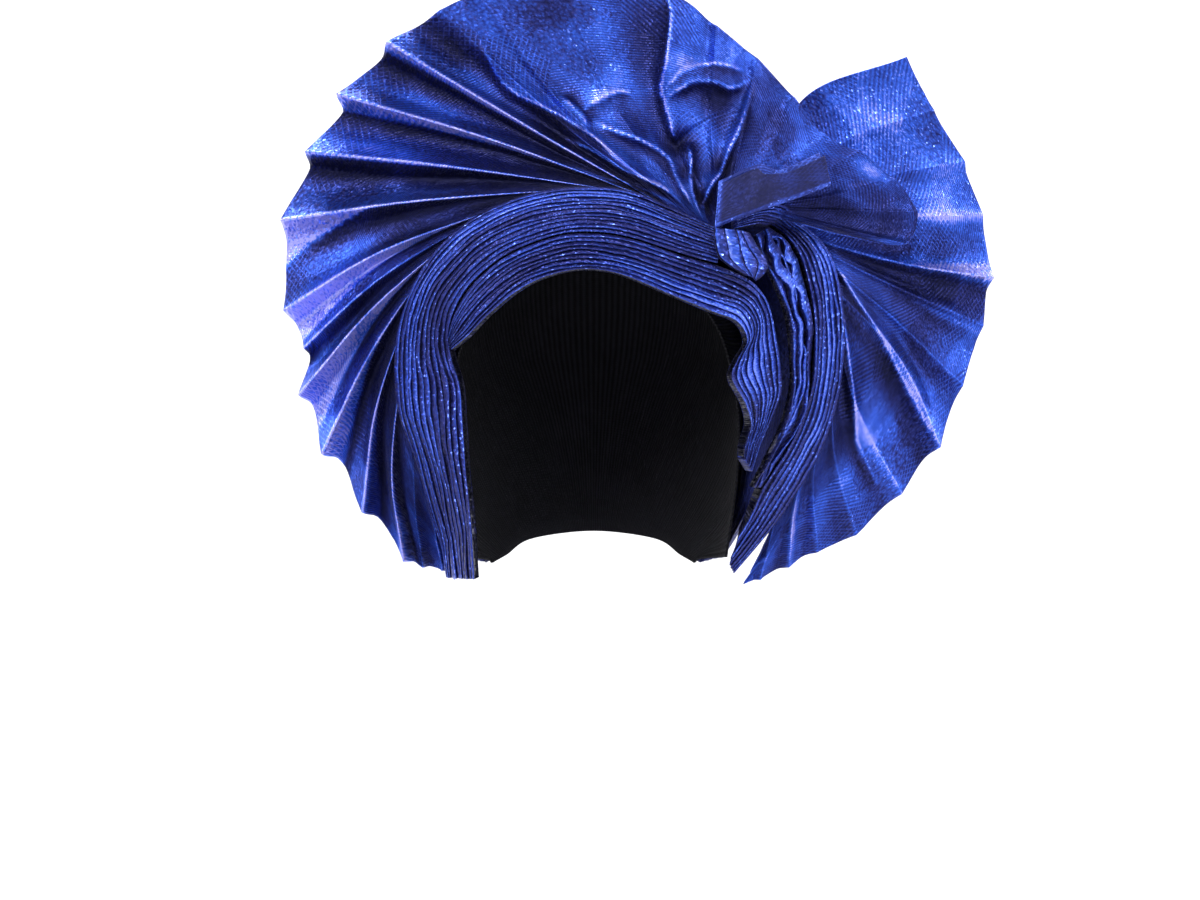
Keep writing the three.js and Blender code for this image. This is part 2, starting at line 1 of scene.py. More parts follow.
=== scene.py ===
"""Looks of a pre-tied head tie of royal blue metallic cloth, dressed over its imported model.

Shapes are worked out in millimetres from the same driving sizes and sections as the solids, and become metres
when a mesh is made. +Z is up, -Y is the wearer's front, and the origin is where the crown of the head bears.
"""

import math

import bpy
import numpy as np
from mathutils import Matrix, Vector


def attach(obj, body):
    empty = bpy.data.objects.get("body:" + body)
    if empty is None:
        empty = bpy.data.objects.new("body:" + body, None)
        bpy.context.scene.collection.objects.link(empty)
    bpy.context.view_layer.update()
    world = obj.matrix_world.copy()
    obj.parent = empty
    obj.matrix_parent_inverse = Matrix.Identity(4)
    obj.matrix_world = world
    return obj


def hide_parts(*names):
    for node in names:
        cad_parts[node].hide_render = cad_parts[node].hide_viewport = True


MM = 0.001

# The hollow for the head, in millimetres.
HEAD_WIDTH = 150
HEAD_DEPTH = 190
CROWN_RISE = 85
NAPE_TAPER = 0.12
BROW_TAPER = 0.1

# The reach of the cloth from the crown of the head.
LEFT_REACH = 154
RIGHT_REACH = 200
TOP_REACH = 98
DROP = 202

# Cloth, folds and the way they face.
SEAM_GAP = 0.7
HEAD_EASE = 0.5
LINING_WALL = 1.2
STACK_WALL = 6
FAN_WALL = 2
HOOD_LOFT = 4.5
HOOD_WALL = 2
FOLD_HEIGHT = 8
DISH = 0.065
BAND_FACING = 320
FAN_FACING = 1200
TURNED_DEPTH = 45
CHEEK_DEPTH = -20
EAR_DEPTH = 30
LEAST_AHEAD = 0.15
UPWARD_EASE = 2
DOWNWARD_EASE = 5
CLOTH = 0.6

HALF_WIDTH = HEAD_WIDTH / 2
HALF_DEPTH = HEAD_DEPTH / 2
WIDEST_LEVEL = -CROWN_RISE

# Sections of the band from behind the right ear over the brow to the knot: the crease's x, z and y, and the
# seam's. x is a share of half the head's width, y of half its depth, and z of the reach above the crown or of
# the drop below it.
CROWN_SECTIONS = np.array([
    [-0.93, -0.97, 0.08, -0.767, -0.973, -0.5],
    [-1.06, -0.817, 0.0, -0.793, -0.829, -0.56],
    [-1.18, -0.68, -0.12, -0.827, -0.705, -0.56],
    [-1.287, -0.567, -0.26, -0.847, -0.594, -0.57],
    [-1.313, -0.47, -0.36, -0.867, -0.495, -0.55],
    [-1.293, -0.371, -0.45, -0.92, -0.433, -0.5],
    [-1.227, -0.287, -0.53, -0.94, -0.371, -0.54],
    [-1.087, -0.19, -0.63, -0.9, -0.314, -0.63],
    [-0.853, -0.106, -0.73, -0.787, -0.25, -0.76],
    [-0.613, -0.059, -0.8, -0.587, -0.19, -0.86],
    [-0.32, -0.025, -0.85, -0.353, -0.151, -0.92],
    [-0.047, -0.017, -0.87, -0.12, -0.131, -0.94],
    [0.247, -0.027, -0.87, 0.193, -0.139, -0.94],
    [0.52, -0.069, -0.86, 0.6, -0.186, -0.92],
    [0.82, -0.116, -0.82, 0.8, -0.205, -0.87],
])

# The front fan's root past the knot: x, z and y.
CREASE_END = np.array([
    [0.875, -0.096, -0.82],
    [0.92, -0.074, -0.82],
    [0.99, -0.061, -0.81],
    [1.087, -0.062, -0.78],
    [1.2, -0.07, -0.76],
    [1.22, -0.1, -0.75],
])

# The band across the brow: its lower edge's x, z and y. It starts at the crown's section FIRST_SEAM.
FIRST_SEAM = 6
BROW_SECTIONS = np.array([
    [-0.927, -0.41, -0.54],
    [-0.82, -0.379, -0.64],
    [-0.66, -0.322, -0.77],
    [-0.467, -0.267, -0.88],
    [-0.253, -0.233, -0.93],
    [-0.02, -0.225, -0.94],
    [0.227, -0.24, -0.94],
    [0.54, -0.287, -0.91],
    [0.78, -0.322, -0.85],
    [0.933, -0.344, -0.77],
    [1.0, -0.389, -0.68],
    [0.94, -0.433, -0.62],
    [0.9, -0.478, -0.58],
    [0.993, -0.54, -0.44],
    [1.03, -0.59, -0.32],
    [1.0, -0.63, -0.27],
    [0.98, -0.67, -0.24],
])

# Its upper edge past the knot, down the left cheek.
BROW_TAIL = np.array([
    [1.04, -0.245, -0.78],
    [1.147, -0.3, -0.71],
    [1.2, -0.374, -0.62],
    [1.233, -0.446, -0.54],
    [1.24, -0.512, -0.46],
    [1.173, -0.582, -0.36],
    [1.1, -0.65, -0.3],
    [1.05, -0.71, -0.25],
])

# The long pleats from under the tab down behind the left ear: the outer edge's x, z and y, and the inner
# edge's.
TEMPLE_SECTIONS = np.array([
    [1.38, -0.1, -0.55, 1.167, -0.105, -0.58],
    [1.5, -0.14, -0.55, 1.267, -0.135, -0.59],
    [1.58, -0.19, -0.55, 1.36, -0.19, -0.59],
    [1.64, -0.285, -0.53, 1.427, -0.29, -0.57],
    [1.66, -0.389, -0.48, 1.447, -0.389, -0.54],
    [1.64, -0.495, -0.4, 1.433, -0.488, -0.46],
    [1.58, -0.594, -0.3, 1.373, -0.574, -0.36],
    [1.473, -0.686, -0.19, 1.273, -0.656, -0.25],
    [1.313, -0.792, -0.03, 1.133, -0.743, -0.1],
    [1.147, -0.886, 0.13, 1.04, -0.829, 0.07],
    [0.993, -0.965, 0.27, 0.93, -0.916, 0.23],
])

# Where the same pleats run behind the tab to the knot, before those sections.
TEMPLE_START = np.array([
    [0.92, -0.088, -0.84, 0.92, -0.12, -0.84],
    [1.08, -0.06, -0.78, 1.06, -0.108, -0.78],
    [1.26, -0.058, -0.68, 1.12, -0.108, -0.7],
])

# The left fan's root before it follows the long pleats.
LEFT_ROOT_START = np.array([
    [1.18, -0.045, -0.47],
    [1.3, -0.065, -0.5],
])

# The inner edge of the crumpled ruffle.
RUFFLE_SECTIONS = np.array([
    [1.06, -0.131, -0.71],
    [1.113, -0.19, -0.71],
    [1.2, -0.26, -0.68],
    [1.27, -0.329, -0.62],
    [1.3, -0.408, -0.55],
    [1.31, -0.495, -0.47],
    [1.25, -0.594, -0.36],
    [1.15, -0.68, -0.24],
    [1.06, -0.748, -0.12],
])

# The gathered knot from its open top down to where it is pinned: the left edge and the right edge.
KNOT_SECTIONS = np.array([
    [0.79, -0.12, -0.955, 1.03, -0.13, -0.9],
    [0.8, -0.16, -0.965, 1.093, -0.168, -0.88],
    [0.825, -0.189, -0.97, 1.147, -0.198, -0.88],
    [0.9, -0.212, -0.965, 1.133, -0.225, -0.875],
    [0.98, -0.23, -0.95, 1.073, -0.245, -0.87],
])

# The folded tab from the knot out to its open end: the lower edge and the upper edge of its front face.
TAB_SECTIONS = np.array([
    [0.8, -0.116, -0.965, 0.827, -0.0025, -0.945],
    [1.05, -0.08, -0.94, 1.1, 0.085, -0.91],
    [1.32, -0.045, -0.9, 1.233, 0.056, -0.88],
    [1.553, -0.012, -0.87, 1.493, 0.143, -0.84],
])

# The front fan's folds, from behind the right ear over the top to the lobe behind the tab: the section of
# the crease that the fold leaves, its tip's x, z and y, its bow in the front view, its height, and the notch
# in the rim after it. A tip's x is a share of the cloth's reach to that side.
FRONT_FOLDS = np.array([
    [0.3, -0.4675, -0.99, 0.36, 0, 0.2, 0.01],
    [1.2, -0.505, -0.965, 0.26, 0, 0.3, 0.02],
    [2.4, -0.565, -0.955, 0.12, -0.03, 0.3, 0.02],
    [4.0, -0.617, -0.936, -0.02, -0.06, 0.8, 0.04],
    [5.6, -0.75, -0.812, -0.15, -0.05, 0.9, 0.06],
    [6.7, -0.877, -0.666, -0.24, -0.04, 1.0, 0.03],
    [7.4, -0.948, -0.52, -0.36, -0.04, 0.95, 0.02],
    [8.0, -0.938, -0.403, -0.43, -0.05, 0.5, 0.01],
    [8.6, -0.994, -0.312, -0.5, -0.05, 1.0, 0],
    [10.0, -1.0, -0.092, -0.57, -0.02, 1.0, 0.02],
    [11.3, -0.919, 0.153, -0.61, -0.014, 1.0, 0.04],
    [12.25, -0.818, 0.444, -0.64, -0.02, 1.0, 0.015],
    [12.75, -0.659, 0.704, -0.66, 0, 0.9, 0],
    [13.1, -0.494, 0.872, -0.68, 0.02, 0.6, 0],
    [13.5, -0.373, 0.954, -0.69, 0.05, 0.8, 0],
    [13.85, -0.107, 1.0, -0.7, 0.06, 0.5, 0],
    [14.6, 0.19, 0.944, -0.7, 0.11, 0.9, 0],
    [15.0, 0.305, 0.79, -0.69, 0.04, 0.8, 0],
    [15.5, 0.4075, 0.628, -0.68, 0, 0.8, 0],
    [16.0, 0.5, 0.434, -0.67, -0.03, 0.5, 0.01],
    [16.5, 0.578, 0.24, -0.67, -0.03, 0.35, 0.03],
    [17.1, 0.6625, 0.163, -0.68, -0.03, 0.3, 0.02],
    [17.7, 0.75, 0.015, -0.69, -0.02, 0.35, 0.01],
    [18.3, 0.8025, -0.072, -0.7, 0, 0.35, 0.01],
    [18.7, 0.775, -0.151, -0.71, 0, 0.35, 0.02],
    [18.95, 0.6425, -0.135, -0.73, 0, 0.3, 0.02],
    [19.2, 0.5175, -0.105, -0.75, 0, 0.2, 0],
])

# The left fan's folds, from the cloth's corner above the tab down behind the left ear, in the same columns.
SIDE_FOLDS = np.array([
    [0.2, 0.7875, 0.663, -0.44, 0.236, 0.2, 0],
    [0.8, 0.8575, 0.393, -0.41, 0.12, 0.3, 0],
    [1.4, 0.935, 0.1276, -0.38, 0.06, 0.45, 0.01],
    [2.0, 0.9775, -0.074, -0.36, 0.03, 0.4, 0],
    [2.7, 1.0, -0.228, -0.34, -0.02, 0.7, 0],
    [3.4, 0.98, -0.347, -0.3, 0, 0.5, 0],
    [4.0, 0.93, -0.495, -0.26, 0.03, 0.5, 0],
    [4.6, 0.87, -0.649, -0.2, 0.08, 1.0, 0.01],
    [5.6, 0.78, -0.767, -0.1, -0.06, 0.8, 0],
    [6.8, 0.6675, -0.871, 0, -0.05, 0.6, 0],
    [8.0, 0.5725, -0.916, 0.08, -0.04, 0.5, 0.01],
    [9.0, 0.5, -0.955, 0.15, -0.03, 0.7, 0.01],
    [10.2, 0.4275, -0.9876, 0.23, 0, 0.4, 0.01],
    [11.2, 0.385, -1.0, 0.28, 0, 0.3, 0],
])


def mirrored(half):
    """Rows of x, z and y across the head, from the right side's rows up to the middle one."""
    half = np.array(half, float)
    return np.vstack([half, half[-2::-1] * (-1, 1, 1)])


# The middle of the domes over the head, from below one ear to below the other.
OVER_HEAD = mirrored([
    [-0.84, -0.94, 0.64],
    [-1, -0.8, 0.34],
    [-1, -0.5, 0.26],
    [-0.8, -0.2, 0.2],
    [0, 0, 0.1],
])

# The hem at the nape.
HEM = mirrored([
    [-0.8, -0.95, 0.7],
    [-0.68, -0.93, 0.8],
    [-0.45, -0.89, 0.86],
    [0, -0.87, 0.93],
])

# The front edges of the cap lining and the hood.
LINING_EDGE = mirrored([
    [-0.95, -0.93, 0.2],
    [-1.0, -0.72, 0.02],
    [-0.97, -0.53, -0.2],
    [-0.82, -0.34, -0.52],
    [-0.48, -0.225, -0.8],
    [0, -0.19, -0.9],
])
HOOD_FRONT = np.array([
    [-0.87, -0.93, 0.58],
    [-0.93, -0.9, 0.43],
    [-0.995, -0.837, 0.235],
    [-1.013, -0.772, 0.084],
    [-1.04, -0.693, -0.021],
    [-1.055, -0.586, -0.224],
    [-1.05, -0.492, -0.346],
    [-1.038, -0.408, -0.417],
    [-1.026, -0.339, -0.473],
    [-0.95, -0.266, -0.566],
    [-0.794, -0.195, -0.683],
    [-0.584, -0.141, -0.76],
    [-0.333, -0.104, -0.815],
    [-0.089, -0.089, -0.835],
    [0.21, -0.098, -0.835],
    [0.54, -0.13, -0.81],
    [0.78, -0.07, -0.7],
    [0.98, -0.045, -0.62],
    [1.2, -0.065, -0.55],
    [1.36, -0.12, -0.48],
    [1.411, -0.193, -0.513],
    [1.474, -0.29, -0.494],
    [1.492, -0.389, -0.457],
    [1.473, -0.49, -0.378],
    [1.4, -0.581, -0.279],
    [1.29, -0.666, -0.17],
    [1.13, -0.76, 0.01],
    [1.0, -0.85, 0.2],
    [0.89, -0.93, 0.37],
])


# Lines and directions

def height(share):
    return share * np.where(share > 0, TOP_REACH, DROP)


def on_head(rows):
    """Points in millimetres from rows of x, z and y."""
    x, z, y = np.asarray(rows, float)[:, :3].T
    return np.stack([x * HALF_WIDTH, y * HALF_DEPTH, height(z)], -1)


def at_rim(rows):
    x, z, y = np.asarray(rows, float)[:, :3].T
    return np.stack([x * np.where(x > 0, RIGHT_REACH, LEFT_REACH), y * HALF_DEPTH, height(z)], -1)


def line_through(points):
    """A smooth line through points, asked for by point number."""
    p = np.asarray(points, float)
    q = np.vstack([2 * p[0] - p[1], p, 2 * p[-1] - p[-2]])

    def at(number):
        s = np.clip(np.asarray(number, float), 0, len(p) - 1)
        i = np.minimum(s.astype(int), len(p) - 2)
        t = (s - i)[..., None]
        b, c = q[i + 1], q[i + 2]
        leave, arrive = (c - q[i]) / 2, (q[i + 3] - b) / 2
        rise = 3 * (c - b) - 2 * leave - arrive
        return b + leave * t + rise * t**2 + (2 * (b - c) + leave + arrive) * t**3

    return at


def head_line(rows):
    """A smooth line through rows of x, z and y."""
    return line_through(on_head(rows))


def unit(v):
    return v / np.maximum(np.linalg.norm(v, axis=-1, keepdims=True), 1e-9)


def lerp(a, b, share):
    return a + (b - a) * share


def smoothstep(x, low, high):
    t = np.clip((x - low) / (high - low), 0, 1)
    return t * t * (3 - 2 * t)


def face_of(p, facing=BAND_FACING):
    """The way the cloth faces: ahead at the front, and turned outwards towards the ears and the top."""
    ahead = np.clip((TURNED_DEPTH - p[..., 1]) / (TURNED_DEPTH + HALF_DEPTH), LEAST_AHEAD, 1)
    over = p[..., 2] - WIDEST_LEVEL
    up = over / np.where(over > 0, UPWARD_EASE, DOWNWARD_EASE)
    return unit(np.stack([p[..., 0], -facing * ahead, up], -1))


def head_share(p):
    """How far out points are, as a share of the head's surface."""
    below = np.maximum(0, WIDEST_LEVEL - p[..., 2]) / (DROP + WIDEST_LEVEL)
    narrow = 1 - NAPE_TAPER * below**2
    egg = 1 + BROW_TAPER * np.clip(p[..., 1] / HALF_DEPTH, -1, 1)
    up = np.maximum(0, p[..., 2] - WIDEST_LEVEL) / CROWN_RISE
    across = p[..., 0] / (HALF_WIDTH * narrow * egg)
    return np.sqrt(across**2 + (p[..., 1] / (HALF_DEPTH * narrow)) ** 2 + up**2)


def to_share(p, share):
    """Points moved in or out from the head's middle until they lie at that share of its surface."""
    grown = np.array(p, float)
    for _ in range(4):
        grow = share / np.maximum(head_share(grown), 1e-6)
        grown[..., :2] *= grow[..., None]
        over = grown[..., 2] - WIDEST_LEVEL
        grown[..., 2] = np.where(over > 0, WIDEST_LEVEL + over * grow, grown[..., 2])
    return grown


def out_of_head(p):
    up = np.maximum(0, p[..., 2] - WIDEST_LEVEL) / CROWN_RISE**2
    return unit(np.stack([p[..., 0] / HALF_WIDTH**2, p[..., 1] / HALF_DEPTH**2, up], -1))


def clear_of_head(p, clearance):
    wanted = 1 + clearance / HALF_WIDTH
    return np.where((head_share(p) < wanted)[..., None], to_share(p, wanted), p)


def grid_normals(p):
    """Unit normals of a grid of points."""
    return unit(np.cross(np.gradient(p, axis=0), np.gradient(p, axis=1)))


# Noise

def noise(seed, x, y):
    """Smooth noise from -1 to 1 with features one unit across."""
    size = 64
    lattice = np.random.default_rng(seed).uniform(-1, 1, (size, size))
    x, y = np.broadcast_arrays(np.asarray(x, float), np.asarray(y, float))
    i, j = np.floor(x).astype(int), np.floor(y).astype(int)
    u, v = x - i, y - j
    u, v = u * u * (3 - 2 * u), v * v * (3 - 2 * v)
    i, j, k, m = i % size, j % size, (i + 1) % size, (j + 1) % size
    low = lerp(lattice[i, j], lattice[k, j], u)
    high = lerp(lattice[i, m], lattice[k, m], u)
    return lerp(low, high, v)


def creases(seed, x, y):
    """Noise with sharp ridges, as in crumpled stiff cloth, from -0.3 in the flats to 0.7 on the ridges."""
    return (1 - np.abs(noise(seed, x, y))) ** 3 - 0.3


# Meshes

def quads(rows, columns, start, flip):
    """The faces of a grid of vertices that are numbered from start."""
    i, j = np.meshgrid(np.arange(rows - 1), np.arange(columns - 1), indexing="ij")
    a = start + i * columns + j
    made = np.stack([a, a + columns, a + columns + 1, a + 1], -1).reshape(-1, 4)
    return made[:, ::-1] if flip else made


def border(rows, columns):
    """The numbers of a grid's vertices along its edge, in order."""
    top = np.arange(columns)
    right = np.arange(1, rows) * columns + columns - 1
    bottom = (rows - 1) * columns + np.arange(columns - 2, -1, -1)
    left = np.arange(rows - 2, 0, -1) * columns
    return np.concatenate([top, right, bottom, left])


def cloth_mesh(name, points, faces, cloth_place, painted_light, material):
    """An object from points in millimetres, with its place on the flat cloth and its painted light and shade
    as attributes.
    """
    mesh = bpy.data.meshes.new(name)
    mesh.vertices.add(len(points))
    mesh.vertices.foreach_set("co", (points * MM).astype(np.float32).ravel())
    mesh.loops.add(faces.size)
    mesh.loops.foreach_set("vertex_index", faces.astype(np.int32).ravel())
    mesh.polygons.add(len(faces))
    mesh.polygons.foreach_set("loop_start", np.arange(0, faces.size, 4, dtype=np.int32))
    mesh.polygons.foreach_set("use_smooth", np.ones(len(faces), bool))
    layer = mesh.uv_layers.new(name="cloth")
    layer.data.foreach_set("uv", cloth_place[faces.ravel()].astype(np.float32).ravel())
    # The painted light and shade, 0 in painted shade and 1 in painted highlights, goes on each point.
    shade = mesh.attributes.new("painted_light", "FLOAT", "POINT")
    shade.data.foreach_set("value", painted_light.astype(np.float32))
    mesh.update(calc_edges=True)
    mesh.validate()
    mesh.materials.append(material)
    made = bpy.data.objects.new(name, mesh)
    bpy.context.scene.collection.objects.link(made)
    return made


def shell(name, front, back, cloth_place, painted_light, material):
    """A closed piece between a front and a back grid of points."""
    rows, columns = front.shape[:2]
    count = rows * columns
    edge = border(rows, columns)
    after = np.roll(edge, -1)
    rim = np.stack([edge, after, after + count, edge + count], -1)
    faces = np.vstack([quads(rows, columns, 0, False), quads(rows, columns, count, True), rim])
    points = np.vstack([front.reshape(-1, 3), back.reshape(-1, 3)])
    a, b, c, d = (points[faces[:, k]] for k in range(4))
    volume = np.einsum("ij,ij->i", a, np.cross(b, c)) + np.einsum("ij,ij->i", a, np.cross(c, d))
    if volume.sum() < 0:
        faces = faces[:, ::-1]
    places = np.vstack([cloth_place.reshape(-1, 2)] * 2)
    painted_lights = np.concatenate([painted_light.ravel()] * 2)
    return cloth_mesh(name, points, faces, places, painted_lights, material)


def thin_sheet(name, points, cloth_place, painted_light, material, thickness=CLOTH):
    n = grid_normals(points) * thickness / 2
    return shell(name, points + n, points - n, cloth_place, painted_light, material)


def on_cloth(u, v):
    """Places on the flat cloth in metres, from distances in millimetres."""
    return np.stack(np.broadcast_arrays(u, v), -1) * MM


def arc_lengths(line):
    """The distance run along a line of points, starting at 0."""
    return np.concatenate([[0], np.cumsum(np.linalg.norm(np.diff(line, axis=0), axis=1))])


# Edge lines that the pieces share

def run_along(line, station):
    """The way that a line runs at a station."""
    return line(station + 0.2) - line(station - 0.2)


def out_of_band(inner, outer, station, across):
    """The way a band between two edges faces: ahead at the front, and out of its own surface by the ears."""
    run = lerp(run_along(inner, station), run_along(outer, station), across)
    a, b = inner(station), outer(station)
    p = lerp(a, b, across)
    turned = smoothstep(p[..., 1], CHEEK_DEPTH, EAR_DEPTH)[..., None]
    return unit(lerp(face_of(p), unit(np.cross(run, b - a)), turned))


crease = head_line(np.vstack([CROWN_SECTIONS[:, :3], CREASE_END]))
seam = head_line(CROWN_SECTIONS[:, 3:])
KNOT_STATION = len(CROWN_SECTIONS) - 1
LAST_SHARED = KNOT_STATION - FIRST_SEAM
brim = head_line(BROW_SECTIONS)
brow_tail = line_through(np.vstack([seam(np.arange(FIRST_SEAM, KNOT_STATION + 1)), on_head(BROW_TAIL)]))
temple_inner = head_line(TEMPLE_SECTIONS[:, 3:])
ruffle_inner = head_line(RUFFLE_SECTIONS)
knot_left = head_line(KNOT_SECTIONS)
knot_right = head_line(KNOT_SECTIONS[:, 3:])
left_root_line = head_line(np.vstack([LEFT_ROOT_START, TEMPLE_SECTIONS[:, :3]]))


def brow_top(station):
    station = np.asarray(station, float)
    return np.where((station <= LAST_SHARED)[..., None], seam(station + FIRST_SEAM), brow_tail(station))


def left_root_inner(station):
    return temple_inner(np.asarray(station, float) - len(LEFT_ROOT_START))


def root_along(outer, inner, ear_to_tuck, tucked_edge):
    """A fan's root: past the outer edge of a stack by an ear, and tucked behind the stack further up.

    It starts to go behind where ear_to_tuck is 0, and lies inside the edge by tucked_edge where it is 1.4."""
    tuck = (STACK_WALL + FAN_WALL) / 2 + SEAM_GAP
    clearance = HEAD_EASE + LINING_WALL + SEAM_GAP + STACK_WALL / 2

    def at(station):
        p = clear_of_head(outer(station), clearance)
        run = unit(run_along(outer, station))
        width = p - inner(station)
        beyond = unit(width - run * np.sum(width * run, -1, keepdims=True))
        behind = smoothstep(ear_to_tuck(station), 0, 0.7)[..., None]
        under = smoothstep(ear_to_tuck(station), 0.7, 1.4)[..., None]
        past = lerp(FAN_WALL / 2 + STACK_WALL * (1 - behind), -tucked_edge, under)
        return p - out_of_band(inner, outer, station, 1) * tuck * behind + beyond * past

    return at


front_root = root_along(crease, seam, lambda station: (station - 1) / 3, -1)
side_root = root_along(left_root_line, left_root_inner, lambda station: (12 - station) / 3, 1)


# Pleated stacks

# One pressed pleat from the gap under its lip at the inner side to where it dips under the next one: the
# places across it, their heights, and how light each is painted, with painted shade in the gap and a painted
# highlight on the lip.
PLEAT_ACROSS = np.array([0.03, -0.06, 0.02, 0.3, 0.76])
PLEAT_HEIGHT = np.array([0.0, 0.7, 1.0, 0.95, 0.72])
PLEAT_PAINTED_LIGHT = np.array([0.0, 0.3, 0.64, 0.42, 0.34])
PLEAT_GAP = 0.6
CALM_EDGE = 1.2


def pleated_stack(name, inner, outer, last, pleats, rib, wander, uneven, seed, spacing, lit, material,
                  wall=STACK_WALL, bulge=0):
    """A stack of pressed pleats between an inner and an outer edge line, with a lip on each pleat.

    The pleats stand a rib off their wall, wander sideways by shares of a pleat, and are uneven in height.
    Each lit patch is a painted highlight, or painted shade where it is darker, with its station, its pleat,
    how far it spreads in both, and how much lighter it is."""
    even = np.linspace(0, last, 200)
    run_length = arc_lengths(lerp(inner(even), outer(even), 0.5))[-1]
    stations = np.linspace(0, last, int(run_length / spacing) + 1)[:, None]
    along = run_length * stations / last
    number = np.arange(pleats)[:, None]
    place = np.append((number + PLEAT_ACROSS).ravel(), pleats)[None, :]
    high = np.append(np.tile(PLEAT_HEIGHT, pleats), 0)[None, :]
    # Painted shade in each pleat's gap and a painted highlight on its lip.
    tone = np.append(np.tile(PLEAT_PAINTED_LIGHT, pleats), 0)[None, :]
    owner = np.append(np.repeat(np.arange(pleats), len(PLEAT_HEIGHT)), pleats)[None, :]
    free = np.clip(np.minimum(place, pleats - place) / CALM_EDGE, 0, 1)
    place = place + free * wander * noise(seed, along / 17, place / 1.6)
    place = place + free * wander * 0.4 * noise(seed + 1, along / 7, owner * 1.37)
    high = high * (1 + uneven * noise(seed + 2, along / 21, owner * 2.3 + 0.4))
    high = high + 0.08 * noise(seed + 3, along / 4, place * 1.1) * (high > 0)
    across = (np.clip(place, -0.1, pleats) / pleats)[..., None]
    a, b = inner(stations), outer(stations)
    inset = SEAM_GAP / 2 / np.linalg.norm(b - a, axis=-1, keepdims=True)
    middle = lerp(a, b, lerp(inset, 1 - inset, across))
    n = out_of_band(inner, outer, stations, across)
    middle = middle + n * bulge * np.sin(np.pi * np.clip(across, 0, 1))
    middle = clear_of_head(middle, HEAD_EASE + LINING_WALL + SEAM_GAP + wall / 2)
    front = middle + n * (wall / 2 + rib * high)[..., None]
    back = middle - n * wall / 2
    developed = np.cumsum(np.abs(np.diff(high[0], prepend=0)) * rib + PLEAT_GAP)
    shown = np.clip(4 * tone, 0, 1)
    # Painted highlights on the lit patches, and painted shade where lighter is below 0.
    for at_station, at_pleat, long, wide, lighter in lit:
        near = np.exp(-(((stations - at_station) / long) ** 2) - ((owner - at_pleat) / wide) ** 2)
        tone = tone + lighter * near * shown
    tone = tone * (1 + 0.3 * noise(seed + 4, along / 26, owner * 1.7))
    tone = tone + 0.06 * noise(seed + 5, along / 9, place)
    return shell(name, front, back, on_cloth(developed[None, :], along), np.clip(tone, 0, 1), material)


def crown_pleats(material):
    # Painted highlights on some pleats, and painted shade where the amount is below 0.
    lit = [(8, 9, 3, 1.6, 0.34), (3, 8, 2, 2.2, 0.2), (12.5, 8, 1.6, 3, 0.16), (6, 2, 2, 2, -0.08)]
    return pleated_stack("crown_pleat_cloth", seam, crease, KNOT_STATION, pleats=12, rib=2.2, wander=0.3,
                         uneven=0.45, seed=11, spacing=1.4, lit=lit, material=material, bulge=4)


def brow_pleats(material):
    # Painted highlights on some pleats.
    lit = [(8, 0.5, 2.4, 1.6, 0.36), (11, 6, 1.6, 3, 0.3), (13, 3, 2, 3, 0.16)]
    return pleated_stack("brow_pleat_cloth", brim, brow_top, len(BROW_SECTIONS) - 1, pleats=9, rib=2.4,
                         wander=0.32, uneven=0.5, seed=23, spacing=1.3, lit=lit, material=material)


def temple_pleats(material):
    sections = np.vstack([TEMPLE_START, TEMPLE_SECTIONS])
    inner, outer = head_line(sections[:, 3:]), head_line(sections)
    # Painted highlights on some pleats.
    lit = [(4, 5, 2, 1.6, 0.3), (8, 3, 2.4, 2, 0.24)]
    return pleated_stack("temple_pleat_cloth", inner, outer, len(sections) - 1, pleats=7, rib=2.2,
                         wander=0.3, uneven=0.4, seed=37, spacing=1.2, lit=lit, material=material)


def ruffle(material):
    # Painted highlights on some pleats.
    lit = [(2.4, 2, 1, 2, 0.4), (4.2, 1, 0.8, 1, 0.3), (5.6, 2, 0.8, 1.5, 0.3)]
    return pleated_stack("ruffle_cloth", ruffle_inner, temple_inner, len(RUFFLE_SECTIONS) - 1, pleats=4,
                         rib=4.5, wander=1.6, uneven=0.8, seed=41, spacing=0.9, lit=lit, material=material,
                         wall=FAN_WALL)


def knot(material):
    # A painted highlight on the knot's pleats.
    return pleated_stack("knot_cloth", knot_left, knot_right, len(KNOT_SECTIONS) - 1, pleats=4, rib=1.3,
                         wander=0.5, uneven=0.5, seed=53, spacing=0.5, lit=[(1.6, 1.5, 2, 2, 0.34)],
                         material=material, wall=FAN_WALL, bulge=4)


# Fans

# How much the columns crowd towards the ridges, how much of a notch in the rim the cloth keeps, and the
# cloth's length from root to rim.
COLUMN_CROWDING = 0.11
NOTCH_KEPT = 0.65
FAN_LENGTH = 170


def fold_phase(q, valley):
    """How far a place is through its fold: 0 and 1 on its ridges, and a half in the valley at that share."""
    f = q - np.floor(q)
    return np.where(f < valley, f / valley, 1 + (f - valley) / (1 - valley)) / 2


def fan_surface(root, folds, columns_per_fold, rows, valley):
    """The places q along the folds, the shares t from root to rim, and the surface that the folds lie on."""
    last = len(folds) - 1
    even = np.linspace(0, last, last * columns_per_fold + 1)
    q = np.round(even - COLUMN_CROWDING * np.sin(2 * np.pi * even), 6)
    leave, bend = line_through(folds[:, [0, 4, 5]])(q)[:, :2].T
    start = root(leave)
    deep = np.sin(np.pi * fold_phase(q, lerp(0.5, valley, 1.5))) ** 2
    notch = folds[np.minimum(q.astype(int), last), 6] * deep
    end = lerp(line_through(at_rim(folds[:, 1:4]))(q), start, NOTCH_KEPT * notch[:, None])
    chord = end - start
    bow = np.stack([-chord[:, 2] * bend, DISH * np.linalg.norm(chord, axis=1), chord[:, 0] * bend], -1)
    middle = (start + end) / 2 + bow
    t = np.linspace(0, 1, rows + 1)
    points = np.stack([line_through([s, m, e])(2 * t) for s, m, e in zip(start, middle, end)])
    return q[:, None], t[None, :], points


